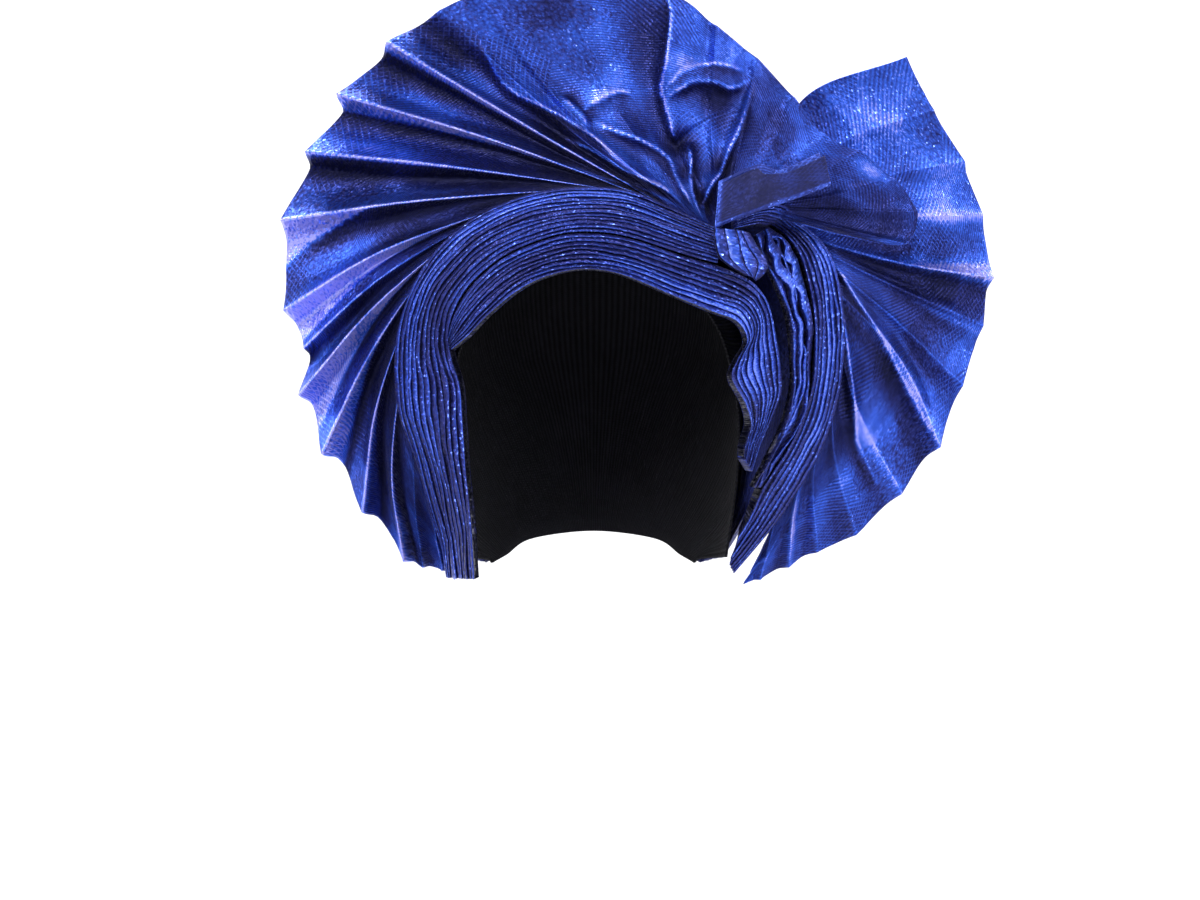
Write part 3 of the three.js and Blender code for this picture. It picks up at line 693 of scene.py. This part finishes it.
def drawn_folds(points, lines):
    """The relief that drawn fold lines add where they pass, in the front view, and their painted light and
    shade: a painted highlight along each line, painted shade on its steep side and painted light on its
    gentle side.
    """
    x, z = points[..., 0], points[..., 2]
    relief = np.zeros(x.shape)
    tone = np.zeros(x.shape)
    for high, left_width, right_width, route in lines:
        dense = line_through(route)(np.linspace(0, len(route) - 1, 8 * len(route)))
        nearest = np.full(x.shape, np.inf)
        side = np.zeros(x.shape)
        along = np.zeros(x.shape)
        for k in range(len(dense) - 1):
            (ax, az), (bx, bz) = dense[k], dense[k + 1]
            run_x, run_z = bx - ax, bz - az
            share = ((x - ax) * run_x + (z - az) * run_z) / (run_x**2 + run_z**2)
            share = np.clip(share, 0, 1)
            off_x, off_z = x - ax - share * run_x, z - az - share * run_z
            distance = np.hypot(off_x, off_z)
            closer = distance < nearest
            nearest = np.where(closer, distance, nearest)
            side = np.where(closer, run_x * off_z - run_z * off_x, side)
            along = np.where(closer, (k + share) / (len(dense) - 1), along)
        width = np.where(side > 0, left_width, right_width)
        steep = width < max(left_width, right_width)
        taper = np.clip(np.minimum(along, 1 - along) * 6, 0, 1)
        relief += high * np.exp(-nearest / width) * taper
        # Painted shade on the steep side, painted light on the gentle side, and a painted highlight on the
        # line.
        shade = np.where(steep, -0.42 * np.exp(-nearest / 5), 0.12 * np.exp(-nearest / 7))
        tone += (0.5 * np.exp(-((nearest / 0.9) ** 2)) + shade) * taper
    return relief, tone


def lit_face(q, t, ridge, wide, inner):
    """The part of a ridge's under face that is painted as lit: a wedge from its inner share t to the rim."""
    reach = wide * np.clip((t - inner) / (1 - inner), 0, 1) + 0.001
    below = (ridge - q) / reach
    return (below >= 0) * (1 - smoothstep(below, 0.7, 1.1))


def fan(name, root, folds, columns_per_fold, rows, seed, valley, calm, lines, glints, lit, patches, material):
    """A fan of folds from a root line to its rim, with lesser creases between the folds and crumpled cloth.

    Each fold has a wide upper face and a steep under face, which is the narrower side of its valley. Where
    calm is 1 the folds fade, and the drawn lines take their place. Its colour is painted light and shade:
    painted shade on the under faces and towards the root, a painted highlight along each ridge, and painted
    light and shade along the creases, glints, lit faces and patches."""
    q, t, points = fan_surface(root, folds, columns_per_fold, rows, valley)
    rise = line_through(folds[:, [0, 4, 5]])(q[:, 0])[:, 2][:, None]
    strength = np.clip(1.2 * rise, 0, 1) * (1 - calm(q))
    rim_run = arc_lengths(points[:, -1])[:, None]
    out_run = t * FAN_LENGTH
    stray = 0.08 * noise(seed, q * 0.9, t * 3) * np.sin(2 * np.pi * q)
    phase = fold_phase(q + stray, valley)
    grow = np.minimum(1, t * (1.6 - 0.6 * t))
    relief = FOLD_HEIGHT * rise * (1 - 2 * np.sin(np.pi * phase) ** 0.9) * grow * (1 - 0.7 * calm(q))
    gathers = np.abs(((q * 3 + 0.35 * noise(seed + 1, q * 2, t * 2)) % 1) - 0.5) * 2
    reach = 0.45 + 0.35 * noise(seed + 2, np.floor(q * 3) * 1.3, 0)
    gathers = (gathers - 0.5) * np.sqrt(t) * np.clip(1 - t / reach, 0, 1)
    soft = noise(seed + 3, rim_run / 46, out_run / 60) * t
    sharp = creases(seed + 4, rim_run / 34, out_run / 70) * t
    fine = creases(seed + 5, rim_run / 13, out_run / 26) * t
    drawn_relief, drawn_tone = drawn_folds(points, lines)
    drawn_share = np.clip(t * 8, 0, 1)
    relief = relief + 1.4 * gathers + 1.2 * soft + 1.7 * sharp + 0.5 * fine
    relief = relief + 0.12 * noise(seed + 6, rim_run / 4.5, out_run / 6) * t + drawn_relief * drawn_share
    # Painted light on the upper faces, darker towards the root, and painted shade on the under faces.
    down = phase if valley > 0.5 else 1 - phase
    upper = lerp(0.62, 0.36, np.clip(2 * down, 0, 1)) * lerp(0.55, 1, smoothstep(t, 0.25, 0.8))
    under = lerp(0.05, 0.16, np.clip(2 * down - 1, 0, 1))
    tone = lerp(upper, under, smoothstep(down, 0.32, 0.54))
    tone = lerp(0.5, tone, strength)
    f = q - np.floor(q)
    spread = np.linalg.norm(np.gradient(points, q[:, 0], axis=0), axis=-1)
    off_ridge = np.minimum(f, 1 - f) * spread
    # A painted highlight along each ridge.
    line_width = 0.4 + 0.5 * t * (1 + noise(seed + 7, np.round(q) * 1.7, t * 4))
    line_light = 0.55 + 0.2 * noise(seed + 8, rim_run / 2, out_run / 5)
    tone = tone + line_light * np.exp(-((off_ridge / line_width) ** 2)) * strength * np.clip(3 * t, 0.5, 1)
    # Painted light and shade that follow the crumples, the gathers and the drawn lines.
    tone = tone + 0.12 * soft + 0.16 * sharp + 0.06 * fine + 0.2 * gathers + drawn_tone * drawn_share
    # Painted shade near the root.
    tone = tone - 0.14 * (1 - smoothstep(t, 0, 0.22))
    # Painted highlights, and painted shade where the amount is below 0.
    for at_q, at_t, wide, long, amount in glints:
        tone = tone + amount * np.exp(-(((q - at_q) / wide) ** 2) - ((t - at_t) / long) ** 2)
    # Painted light on the lit under faces.
    for ridge, wide, inner, lighter in lit:
        tone = tone + lighter * lit_face(q, t, ridge, wide, inner)
    # Painted light, or painted shade where it is darker, on each patch, which is also raised or sunk.
    for x, z, radius, raised, lighter in patches:
        near = np.exp(-((points[..., 0] - x) ** 2 + (points[..., 2] - z) ** 2) / radius**2)
        tone = tone + lighter * near
        relief = relief + raised * near
    points = points + face_of(points, FAN_FACING) * relief[..., None]
    return thin_sheet(name, points, on_cloth(rim_run, out_run), np.clip(tone, 0, 1), material)


# Fold lines in the front view, of the front fan's top and of the left fan: the height, how far it slopes off
# to the left and to the right, and the route's x and z.
TOP_FOLD_LINES = [
    (6, 1.5, 14, [[42, 20], [39, 25], [35, 40], [33.5, 47], [36, 62], [38, 84], [34, 96]]),
    (5, 2, 5, [[47, 21], [48.5, 12], [48.5, -3], [52.5, -14.5], [58, -23]]),
    (5, 10, 2, [[35, 40], [43, 46], [51, 49.5], [60, 49], [68.5, 46.5], [79, 51]]),
    (3, 9, 5, [[35.5, 46], [46.5, 55.5], [60, 58], [75.5, 55.5]]),
    (7, 2.5, 3, [[79, 51], [74, 31], [67.5, 16], [63, 4.5], [59, -1], [55, -10], [54.5, -15], [59, -25]]),
    (4, 2, 8, [[-16.5, 43.5], [-6.5, 35], [-2, 27.5]]),
    (3, 9, 2, [[-6.5, 35], [2.5, 40.5], [11, 44.5], [19, 45]]),
    (5, 8, 2.5, [[-2, 32], [7.5, 26.5], [16.5, 23], [26.5, 19], [37, 12], [40, 3.5], [45, -6.5], [53, -18]]),
    (5, 7, 2.5, [[-58, 75.5], [-44, 49], [-16.5, 33], [1, 21.5], [12.5, 10], [25.5, 0.5], [37, -5.5],
                 [49, -16]]),
    (3, 5, 2.5, [[-16.5, 23], [-1, 16], [15.5, 5], [29.5, -1], [40, -6.5]]),
    (3, 4, 2, [[-16.5, 10], [2.5, 2], [22, -3], [32.5, -8], [45, -14.5]]),
]
SIDE_FOLD_LINES = [
    (4, 8, 2.5, [[103, -17], [119, -38.5], [132, -58], [145.5, -78], [158.5, -102.5], [174, -131]]),
    (4, 7, 2.5, [[100, -22], [112.5, -40.5], [123.5, -64], [128.5, -90.5], [132, -116.5], [135, -132],
                 [150, -157]]),
]

# Painted highlights, and painted shade where the amount is below 0, each by its place q along the folds and
# its share t of the way to the rim, with how far it spreads in both and how much lighter it is.
FRONT_GLINTS = [
    (11.35, 0.78, 0.1, 0.2, 0.2),
    (10.2, 0.85, 0.12, 0.16, 0.2),
    (16.6, 0.55, 0.5, 0.3, 0.12),
    (23.0, 0.55, 2.3, 0.7, -0.26),
    (21.6, 0.93, 0.45, 0.07, 0.5),
    (24.2, 0.9, 0.3, 0.1, 0.4),
]
SIDE_GLINTS = [
    (3.93, 0.95, 0.16, 0.4, 0.6),
    (1.2, 0.6, 1.4, 0.7, 0.14),
    (3.0, 0.8, 0.12, 0.35, 0.3),
    (4.7, 0.7, 0.4, 0.6, -0.2),
    (5.1, 0.8, 0.08, 0.3, 0.3),
    (7.05, 0.5, 0.1, 0.5, 0.35),
    (8.05, 0.75, 0.1, 0.3, 0.3),
    (10.9, 0.6, 0.16, 0.4, 0.4),
]

# Under faces that are painted as lit: the ridge, how wide the painted light is at the rim, the share t where
# it starts, and how much lighter it is.
FRONT_LIT = [
    (12, 0.12, 0, 0.65),
    (11, 0.2, 0, 0.75),
    (10, 0.07, 0, 0.4),
    (9, 0.5, 0.66, 0.95),
    (8, 0.85, 0.1, 1.0),
    (6, 0.7, 0.05, 0.85),
    (5, 0.35, 0.3, 0.65),
    (4, 0.3, 0.4, 0.4),
    (3, 0.3, 0.5, 0.3),
]

# Round patches where the cloth turns in under a fold or swells out, painted darker as shade or lighter as
# lit:
# x, z, radius, how far it is raised, and how much lighter it is.
FRONT_PATCHES = [
    (42, 18, 7, -3, -0.6),
    (46, 5, 6, -2, -0.5),
    (52, -8, 5, -2, -0.45),
    (62, 8, 6, -2, -0.4),
    (66, -10, 4, -1, -0.4),
    (60, 38, 8, -2, -0.22),
    (84, 48, 9, 0, -0.2),
    (44, 60, 7, 1, 0.25),
    (50, 52, 6, 2, 0.2),
    (72, 22, 6, 1.5, 0.2),
    (90, 22, 11, 0, -0.12),
    (26, 74, 13, 0, -0.2),
    (-8, 72, 14, 0, 0.16),
    (-34, 84, 15, 0, -0.16),
    (-70, 66, 14, 0, -0.12),
    (4, 42, 9, 1, 0.22),
    (-20, 26, 9, -0.5, -0.2),
    (20, 24, 8, 1, -0.12),
    (22, 4, 7, 0, -0.25),
]
# Patches of painted light and painted shade alone, with no relief.
SIDE_PATCHES = [
    (150, 44, 26, 0, 0.2),
    (120, 36, 16, 0, -0.1),
    (176, 0, 20, 0, 0.2),
    (172, -58, 16, 0, -0.22),
    (140, -24, 14, 0, -0.2),
    (180, -84, 14, 0, 0.1),
    (150, -120, 18, 0, 0.08),
    (128, -150, 14, 0, 0.12),
]


def front_fan(material):
    return fan("front_fan_cloth", front_root, FRONT_FOLDS, columns_per_fold=20, rows=88, seed=61, valley=0.7,
               calm=lambda q: smoothstep(q, 12.3, 13.2), lines=TOP_FOLD_LINES, glints=FRONT_GLINTS,
               lit=FRONT_LIT, patches=FRONT_PATCHES, material=material)


def left_fan(material):
    return fan("left_fan_cloth", side_root, SIDE_FOLDS, columns_per_fold=28, rows=96, seed=83, valley=0.3,
               calm=lambda q: 0.85 - 0.55 * smoothstep(q, 3.4, 4) + 0.3 * smoothstep(q, 4.3, 5),
               lines=SIDE_FOLD_LINES, glints=SIDE_GLINTS, lit=[], patches=SIDE_PATCHES, material=material)


# The tab, the hood and the cap lining

TAB_COLUMNS = 90
LEAF_ROWS = 26
TURN_ROWS = 7
TAB_FOLD_RADIUS = 2.2
FRONT_LEAF_SHORT = 2.5
TAB_NOTCH = 3.2
HOOD_FOLDS = 7
LINING_RIBS = 90


def tab(material):
    """One strip folded along its lower edge: a front leaf, and a back leaf that stands a little higher."""
    s = np.linspace(0, len(TAB_SECTIONS) - 1, TAB_COLUMNS)[:, None]
    a, b = head_line(TAB_SECTIONS)(s), head_line(TAB_SECTIONS[:, 3:])(s)
    leaf_high = np.linalg.norm(b - a, axis=-1) - TAB_FOLD_RADIUS
    leaf = np.linspace(0, 1, LEAF_ROWS)
    turn = np.linspace(0, np.pi, TURN_ROWS + 2)[1:-1]
    notch = TAB_NOTCH * smoothstep(s, 0.85, 1.15) * (1 - smoothstep(s, 1.15, 1.9))
    front = leaf[::-1] * (leaf_high - FRONT_LEAF_SHORT - notch)
    fold = np.tile(-TAB_FOLD_RADIUS * np.sin(turn), (TAB_COLUMNS, 1))
    rise = np.hstack([front, fold, leaf * leaf_high]) + TAB_FOLD_RADIUS
    lean = 1.4 * noise(5, s * 1.7, rise / 14) * np.clip(rise / 10, 0, 1)
    out = TAB_FOLD_RADIUS * np.concatenate([np.ones(LEAF_ROWS), np.cos(turn), -np.ones(LEAF_ROWS)])
    points = a + unit(b - a) * rise[..., None] + face_of(a) * (out + lean)[..., None]
    along = arc_lengths(a[:, 0])[:, None]
    # Painted light: the fold's turn and the back leaf are painted lighter than the front leaf, as a highlight
    # along the fold and sheen on the back leaf.
    tone = np.repeat([0.42, 0.8, 0.82], [LEAF_ROWS, TURN_ROWS, LEAF_ROWS])
    # A lighter strip at the knot end.
    knot_end_strip = np.exp(-((along / 1.6) ** 2))
    tone = tone + 0.5 * knot_end_strip + 0.12 * noise(6, s * 2.5, rise / 12)
    cloth_place = on_cloth(along, np.arange(rise.shape[1]))
    return thin_sheet("tab_cloth", points, cloth_place, np.clip(tone, 0, 1), material)


def dome(name, front_line, front_last, hem_clearance, clearance, columns, rows, relief, thickness, material):
    """A cloth over the head from a front edge to the hem at the nape, that far off the head's surface."""
    snug = 1 + clearance / HALF_WIDTH
    knot_end_strip = line_through(to_share(on_head(HEM), 1 + hem_clearance / HALF_WIDTH))
    u = np.linspace(0, 1, columns)
    v = np.linspace(0, 1, rows)
    a, b = front_line(u * front_last), knot_end_strip(u * (len(HEM) - 1))
    over = to_share(head_line(OVER_HEAD)(u * (len(OVER_HEAD) - 1)), snug)
    arcs = np.stack([line_through([p, m, q])(2 * v) for p, m, q in zip(a, over, b)])
    away = smoothstep(v, 0, 0.3)[None, :]
    near = smoothstep(v, 0.7, 1)[None, :]
    share = lerp(lerp(head_share(a)[:, None], snug, away), head_share(b)[:, None], near)
    points = to_share(arcs, share)
    points = points + out_of_head(points) * relief(u[:, None], v[None, :])[..., None]
    across = arc_lengths(points[:, rows // 2])[:, None]
    cloth_place = on_cloth(across, arc_lengths(points[columns // 2]))
    return thin_sheet(name, points, cloth_place, np.full(points.shape[:2], 0.5), material, thickness)


def hood_relief(u, v):
    """Soft folds that cross the back of the head, deepest half way between the brow and the nape."""
    stray = 0.35 * noise(71, u * 6, v * 3)
    folds = HOOD_LOFT * (0.5 - np.abs(np.sin(np.pi * (HOOD_FOLDS * v + stray))) ** 0.8)
    return (folds + 0.7 * creases(73, u * 14, v * 9)) * np.sin(np.pi * v)


def knit_relief(u, v):
    return 0.15 * np.sin(2 * np.pi * LINING_RIBS * u) * np.sin(np.pi * v) ** 0.3


def hood(material):
    clearance = HEAD_EASE + LINING_WALL + SEAM_GAP + HOOD_WALL / 2
    front = line_through(clear_of_head(on_head(HOOD_FRONT), clearance))
    return dome("hood_cloth", front, len(HOOD_FRONT) - 1, clearance + HOOD_LOFT / 2, clearance + HOOD_LOFT,
                columns=200, rows=150, relief=hood_relief, thickness=CLOTH, material=material)


def cap_lining(material):
    clearance = HEAD_EASE + LINING_WALL / 2
    edge = line_through(to_share(on_head(LINING_EDGE), 1 + clearance / HALF_WIDTH))
    return dome("cap_lining_cloth", edge, len(LINING_EDGE) - 1, clearance, clearance, columns=720, rows=40,
                relief=knit_relief, thickness=LINING_WALL, material=material)


# Materials

class Nodes:
    """A material's nodes, with short ways to add and join them."""

    def __init__(self, name):
        self.material = bpy.data.materials.new(name)
        self.material.use_nodes = True
        self.tree = self.material.node_tree
        self.tree.nodes.clear()
        self.shader = self.add("BsdfPrincipled")
        self.add("OutputMaterial", {0: self.shader.outputs[0]})

    def add(self, kind, fed=None, **settings):
        """A new node with those settings, whose inputs are fed by name or number."""
        made = self.tree.nodes.new("ShaderNode" + kind)
        for key, value in settings.items():
            setattr(made, key, value)
        self.feed(made, fed or {})
        return made

    def feed(self, node, fed):
        for key, source in fed.items():
            if isinstance(source, bpy.types.NodeSocket):
                self.tree.links.new(source, node.inputs[key])
            else:
                node.inputs[key].default_value = source

    def math(self, operation, *sources):
        return self.add("Math", dict(enumerate(sources)), operation=operation).outputs[0]

    def vector(self, operation, *sources):
        return self.add("VectorMath", dict(enumerate(sources)), operation=operation).outputs[0]

    def scaled(self, vector, scale):
        return self.add("VectorMath", {"Vector": vector, "Scale": scale}, operation="SCALE").outputs[0]

    def blend(self, share, a, b):
        """The number a where share is 0 and b where it is 1."""
        made = self.add("Mix", {"Factor": share, "A": a, "B": b}, data_type="FLOAT")
        return made.outputs["Result"]

    def swayed(self, base, value, amount):
        """The number base, moved by up to half that amount either way by a value from 0 to 1."""
        return self.math("MULTIPLY_ADD", self.math("SUBTRACT", value, 0.5), amount, base)

    def flat_place(self):
        """The place on the flat cloth, and its two coordinates in metres."""
        place = self.add("UVMap", uv_map="cloth").outputs[0]
        axes = self.add("SeparateXYZ", {0: place})
        return place, axes.outputs[0], axes.outputs[1]

    def cells(self, place, per_metre):
        return self.add("TexVoronoi", {"Vector": place, "Scale": per_metre}, voronoi_dimensions="2D")

    def clouds(self, place, per_metre, detail):
        fed = {"Vector": place, "Scale": per_metre, "Detail": detail}
        return self.add("TexNoise", fed, noise_dimensions="3D").outputs["Fac"]

    def waves(self, number, pitch):
        """Waves from 0 to 1 of that pitch in metres along a number."""
        turns = self.math("MULTIPLY", number, 2 * math.pi / pitch)
        return self.math("MULTIPLY_ADD", self.math("SINE", turns), 0.5, 0.5)

    def ramp(self, share, *stops):
        made = self.add("ValToRGB", {0: share})
        elements = made.color_ramp.elements
        while len(elements) < len(stops):
            elements.new(0.5)
        for element, (position, colour) in zip(elements, stops):
            element.position = position
            element.color = (*colour, 1)
        return made.outputs[0]

    def bump(self, height, distance, strength, normal=None):
        fed = {"Height": height, "Distance": distance, "Strength": strength}
        if normal is not None:
            fed["Normal"] = normal
        return self.add("Bump", fed).outputs[0]


def woven_figures(nodes, place, u, v):
    """Raised figures in four weaves, from 0 to 1, and the tone of the leaf shape that each patch holds."""
    patch = nodes.cells(place, 27)
    choice = nodes.add("SeparateColor", {0: patch.outputs["Color"]})
    rising = nodes.math("ADD", u, v)
    falling = nodes.math("SUBTRACT", u, v)
    ribs = nodes.waves(v, 1.7 * MM)
    hatch = nodes.waves(rising, 3.6 * MM)
    lattice = nodes.math("MAXIMUM", nodes.waves(rising, 3.8 * MM), nodes.waves(falling, 3.8 * MM))
    lattice = nodes.math("POWER", lattice, 4.0)
    dots = nodes.cells(place, 420)
    dots = nodes.math("SUBTRACT", 1.0, nodes.math("MULTIPLY", dots.outputs["Distance"], 1.5))
    pick = choice.outputs[0]
    figure = nodes.blend(nodes.math("GREATER_THAN", pick, 0.34), ribs, hatch)
    figure = nodes.blend(nodes.math("GREATER_THAN", pick, 0.58), figure, lattice)
    figure = nodes.blend(nodes.math("GREATER_THAN", pick, 0.8), figure, dots)
    leaf = nodes.add("MapRange", {"Value": patch.outputs["Distance"], "From Min": 0.3, "From Max": 0.44},
                     interpolation_type="SMOOTHSTEP")
    tone = nodes.blend(choice.outputs[1], 0.3, 1.0)
    return figure, nodes.math("MULTIPLY_ADD", leaf.outputs[0], 0.35, nodes.math("MULTIPLY", tone, 0.65))


def brocade(name, tones, metal, rough, figured, patches, glitter, facet, sheen):
    """Stiff metallic cloth with woven figures and fine glitter, coloured by painted light: painted shade in
    the folds' valleys and painted highlights on their crests.
    """
    nodes = Nodes(name)
    place, u, v = nodes.flat_place()
    figure, tone = woven_figures(nodes, place, u, v)
    # Each piece's painted light and shade, which picks the colour from the tones with the woven figures,
    # mottle and grain.
    painted_light = nodes.add("Attribute", attribute_name="painted_light").outputs["Fac"]
    solid = nodes.add("NewGeometry")
    cloud = nodes.clouds(solid.outputs["Position"], 38, 4)
    weave = nodes.math("MULTIPLY", nodes.waves(u, 0.9 * MM), nodes.waves(v, 0.9 * MM))
    spark = nodes.cells(place, 1050).outputs["Color"]
    grain = nodes.add("SeparateColor", {0: spark})
    share = painted_light
    for value, amount in ((figure, figured), (tone, patches), (cloud, 0.35), (grain.outputs[0], 0.14)):
        share = nodes.swayed(share, value, amount)
    # More glitter specks where the painted light is brighter.
    bright = nodes.math("MULTIPLY", grain.outputs[2], nodes.math("MULTIPLY_ADD", painted_light, 0.3, 0.8))
    bright = nodes.math("GREATER_THAN", bright, 1 - glitter)
    tinsel = {"Factor": bright, "A": nodes.ramp(share, *tones), "B": (0.14, 0.24, 0.95, 1)}
    roughness = nodes.blend(figure, rough + 0.09, rough - 0.05)
    facets = nodes.scaled(nodes.vector("SUBTRACT", spark, (0.5, 0.5, 0.5)), facet)
    normal = nodes.vector("NORMALIZE", nodes.vector("ADD", solid.outputs["Normal"], facets))
    normal = nodes.bump(figure, 0.12 * MM, 0.7, normal)
    nodes.feed(nodes.shader, {
        "Base Color": nodes.add("Mix", tinsel, data_type="RGBA").outputs["Result"],
        "Roughness": nodes.blend(bright, roughness, 0.28),
        "Normal": nodes.bump(weave, 0.06 * MM, 0.5, normal),
        "Metallic": metal,
        "Sheen Weight": sheen,
        "Sheen Roughness": 0.35,
        "Sheen Tint": (0.5, 0.5, 1.0, 1),
    })
    return nodes.material


def knitted_lining(name):
    """Matt black ribbed knit."""
    nodes = Nodes(name)
    _, u, v = nodes.flat_place()
    ribs = nodes.waves(u, 2.4 * MM)
    loops = nodes.waves(v, 1.3 * MM)
    solid = nodes.add("NewGeometry")
    cloud = nodes.clouds(solid.outputs["Position"], 60, 4)
    share = nodes.math("MULTIPLY_ADD", ribs, 0.5, nodes.math("MULTIPLY", cloud, 0.5))
    nodes.feed(nodes.shader, {
        "Base Color": nodes.ramp(share, (0.2, (0.001, 0.001, 0.002)), (0.8, (0.005, 0.005, 0.009))),
        "Roughness": nodes.blend(ribs, 0.95, 0.78),
        "Normal": nodes.bump(loops, 0.15 * MM, 0.5, nodes.bump(ribs, 0.4 * MM, 0.8)),
        "Specular IOR Level": 0.15,
        "Sheen Weight": 0.01,
        "Sheen Roughness": 0.6,
    })
    return nodes.material


def plain_paint(name, colour):
    """An even matt surface with the slightest mottle."""
    nodes = Nodes(name)
    cloud = nodes.clouds(nodes.add("NewGeometry").outputs["Position"], 3, 2)
    paler = tuple(min(1, 1.03 * c) for c in colour)
    mottle = nodes.ramp(cloud, (0.3, colour), (0.7, paler))
    nodes.feed(nodes.shader, {"Base Color": mottle, "Roughness": 0.9})
    return nodes.material


# The head tie

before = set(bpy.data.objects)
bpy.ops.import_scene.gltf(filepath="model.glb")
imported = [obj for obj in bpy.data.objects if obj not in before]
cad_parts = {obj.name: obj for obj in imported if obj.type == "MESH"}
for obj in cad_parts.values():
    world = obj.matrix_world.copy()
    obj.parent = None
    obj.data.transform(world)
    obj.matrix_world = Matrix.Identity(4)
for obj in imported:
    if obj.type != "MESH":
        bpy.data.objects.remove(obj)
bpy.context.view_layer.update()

# The cloths' colours along the painted light, from painted shade in the deepest valleys, at 0, to painted
# highlights on the brightest crests, at 1.
FAN_TONES = [
    (0.02, (0.002, 0.003, 0.03)),
    (0.2, (0.004, 0.006, 0.06)),
    (0.4, (0.014, 0.021, 0.155)),
    (0.6, (0.025, 0.065, 0.42)),
    (0.8, (0.042, 0.14, 0.82)),
    (1.0, (0.42, 0.42, 1.0)),
]
PLEAT_TONES = [
    (0.04, (0.001, 0.0015, 0.01)),
    (0.2, (0.008, 0.01, 0.07)),
    (0.4, (0.024, 0.03, 0.18)),
    (0.6, (0.028, 0.05, 0.3)),
    (0.8, (0.042, 0.11, 0.66)),
    (1.0, (0.18, 0.27, 0.95)),
]
PLAIN_TONES = [
    (0.1, (0.004, 0.005, 0.035)),
    (0.45, (0.008, 0.011, 0.085)),
    (0.8, (0.018, 0.036, 0.26)),
    (1.0, (0.07, 0.15, 0.78)),
]
fan_cloth = brocade("metallic_cloth", FAN_TONES, metal=0.74, rough=0.36, figured=0.2, patches=0.22,
                    glitter=0.03, facet=0.4, sheen=0.1)
pleat_cloth = brocade("pressed_cloth", PLEAT_TONES, metal=0.74, rough=0.34, figured=0.08, patches=0.08,
                      glitter=0.1, facet=0.6, sheen=0.08)
plain_side = brocade("plain_side", PLAIN_TONES, metal=0.55, rough=0.46, figured=0.14, patches=0.2,
                     glitter=0.012, facet=0.3, sheen=0.1)
lining_cloth = knitted_lining("lining_knit")

# Each piece with its node, its slot, its cloth's size when flat, and how it is held.
PIECES = [
    (cap_lining, lining_cloth, "cap_lining", "lining", (0.33, 0.22), "stretched"),
    (hood, plain_side, "hood", "plain_side", (0.36, 0.23), "stretched"),
    (crown_pleats, pleat_cloth, "crown_pleats", "metallic_cloth", (0.31, 0.068), "folded"),
    (brow_pleats, pleat_cloth, "brow_pleats", "metallic_cloth", (0.28, 0.042), "folded"),
    (temple_pleats, pleat_cloth, "temple_pleats", "metallic_cloth", (0.24, 0.033), "folded"),
    (ruffle, pleat_cloth, "ruffle", "metallic_cloth", (0.15, 0.03), "gathered"),
    (front_fan, fan_cloth, "front_fan", "metallic_cloth", (0.62, 0.09), "folded"),
    (left_fan, fan_cloth, "left_fan", "metallic_cloth", (0.27, 0.09), "folded"),
    (knot, pleat_cloth, "knot", "metallic_cloth", (0.033, 0.026), "gathered"),
    (tab, plain_side, "tab", "plain_side", (0.06, 0.04), "folded"),
]
for build, material, node, slot, flat, held in PIECES:
    piece = build(material)
    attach(piece, "root")
    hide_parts(node)


# The stage, the light and the camera

FLOOR_LEVEL = -1.0
WALL_RADIUS = 3.3
COVE_RADIUS = 1.0
WALL_TOP = 2.6
BOWL_COLUMNS = 97


def stage_bowl():
    """A round pale floor that curves up into a wall far round the head tie."""
    turn = np.linspace(0, np.pi / 2, 17)
    cove = WALL_RADIUS - COVE_RADIUS + COVE_RADIUS * np.sin(turn)
    radius = np.concatenate([[0.01, 1.2], cove, [WALL_RADIUS]])
    level = np.concatenate([[0, 0], COVE_RADIUS - COVE_RADIUS * np.cos(turn), [WALL_TOP - FLOOR_LEVEL]])
    angle = np.linspace(0, 2 * np.pi, BOWL_COLUMNS)[:, None]
    x, y = radius * np.cos(angle), radius * np.sin(angle)
    points = np.stack(np.broadcast_arrays(x, y, FLOOR_LEVEL + level), -1).reshape(-1, 3)
    return cloth_mesh("studio_floor", points / MM, quads(BOWL_COLUMNS, len(radius), 0, True), points[:, :2],
                      0 * points[:, 0], plain_paint("pale_floor", (0.6, 0.6, 0.61)))


def soft_light(name, place, size, power, colour, aim=(0, 0, -0.08)):
    """A large square light that faces the head tie unless it is aimed elsewhere."""
    made = bpy.data.lights.new(name, "AREA")
    made.shape = "SQUARE"
    made.size = size
    made.energy = power
    made.color = colour
    lamp = bpy.data.objects.new(name, made)
    lamp.location = place
    lamp.rotation_euler = (Vector(aim) - Vector(place)).to_track_quat("-Z", "Y").to_euler()
    lamp.visible_camera = False
    bpy.context.scene.collection.objects.link(lamp)


stage_bowl()
soft_light("key_light", (-0.9, -1.9, 1.1), 0.7, 38, (1.0, 0.99, 0.97))
soft_light("fill_light", (1.5, -1.6, 0.3), 1.0, 16, (0.95, 0.97, 1.0))
soft_light("left_rim_light", (-1.7, 0.2, 0.5), 0.7, 16, (0.93, 0.95, 1.0))
soft_light("right_rim_light", (1.7, 0.3, 0.6), 0.7, 18, (0.93, 0.95, 1.0))
soft_light("back_light", (0.2, 1.7, 1.3), 1.2, 26, (1.0, 1.0, 1.0))
soft_light("wall_light", (0.0, 1.0, 2.4), 2.4, 190, (1.0, 1.0, 1.0), (0.0, WALL_RADIUS, -0.3))

world = bpy.data.worlds.new("studio")
world.use_nodes = True
world.node_tree.nodes["Background"].inputs["Color"].default_value = (0.9, 0.92, 1.0, 1)
world.node_tree.nodes["Background"].inputs["Strength"].default_value = 0.25
bpy.context.scene.world = world
bpy.context.scene.view_settings.view_transform = "Standard"

CAMERA_PLACE = (0.0035, -2.05, -0.1325)
camera = bpy.data.objects.new("camera", bpy.data.cameras.new("camera"))
camera.data.sensor_width = 36
camera.data.lens = 120
camera.location = CAMERA_PLACE
camera.rotation_euler = (math.pi / 2, 0, 0)
bpy.context.scene.collection.objects.link(camera)
bpy.context.scene.camera = camera
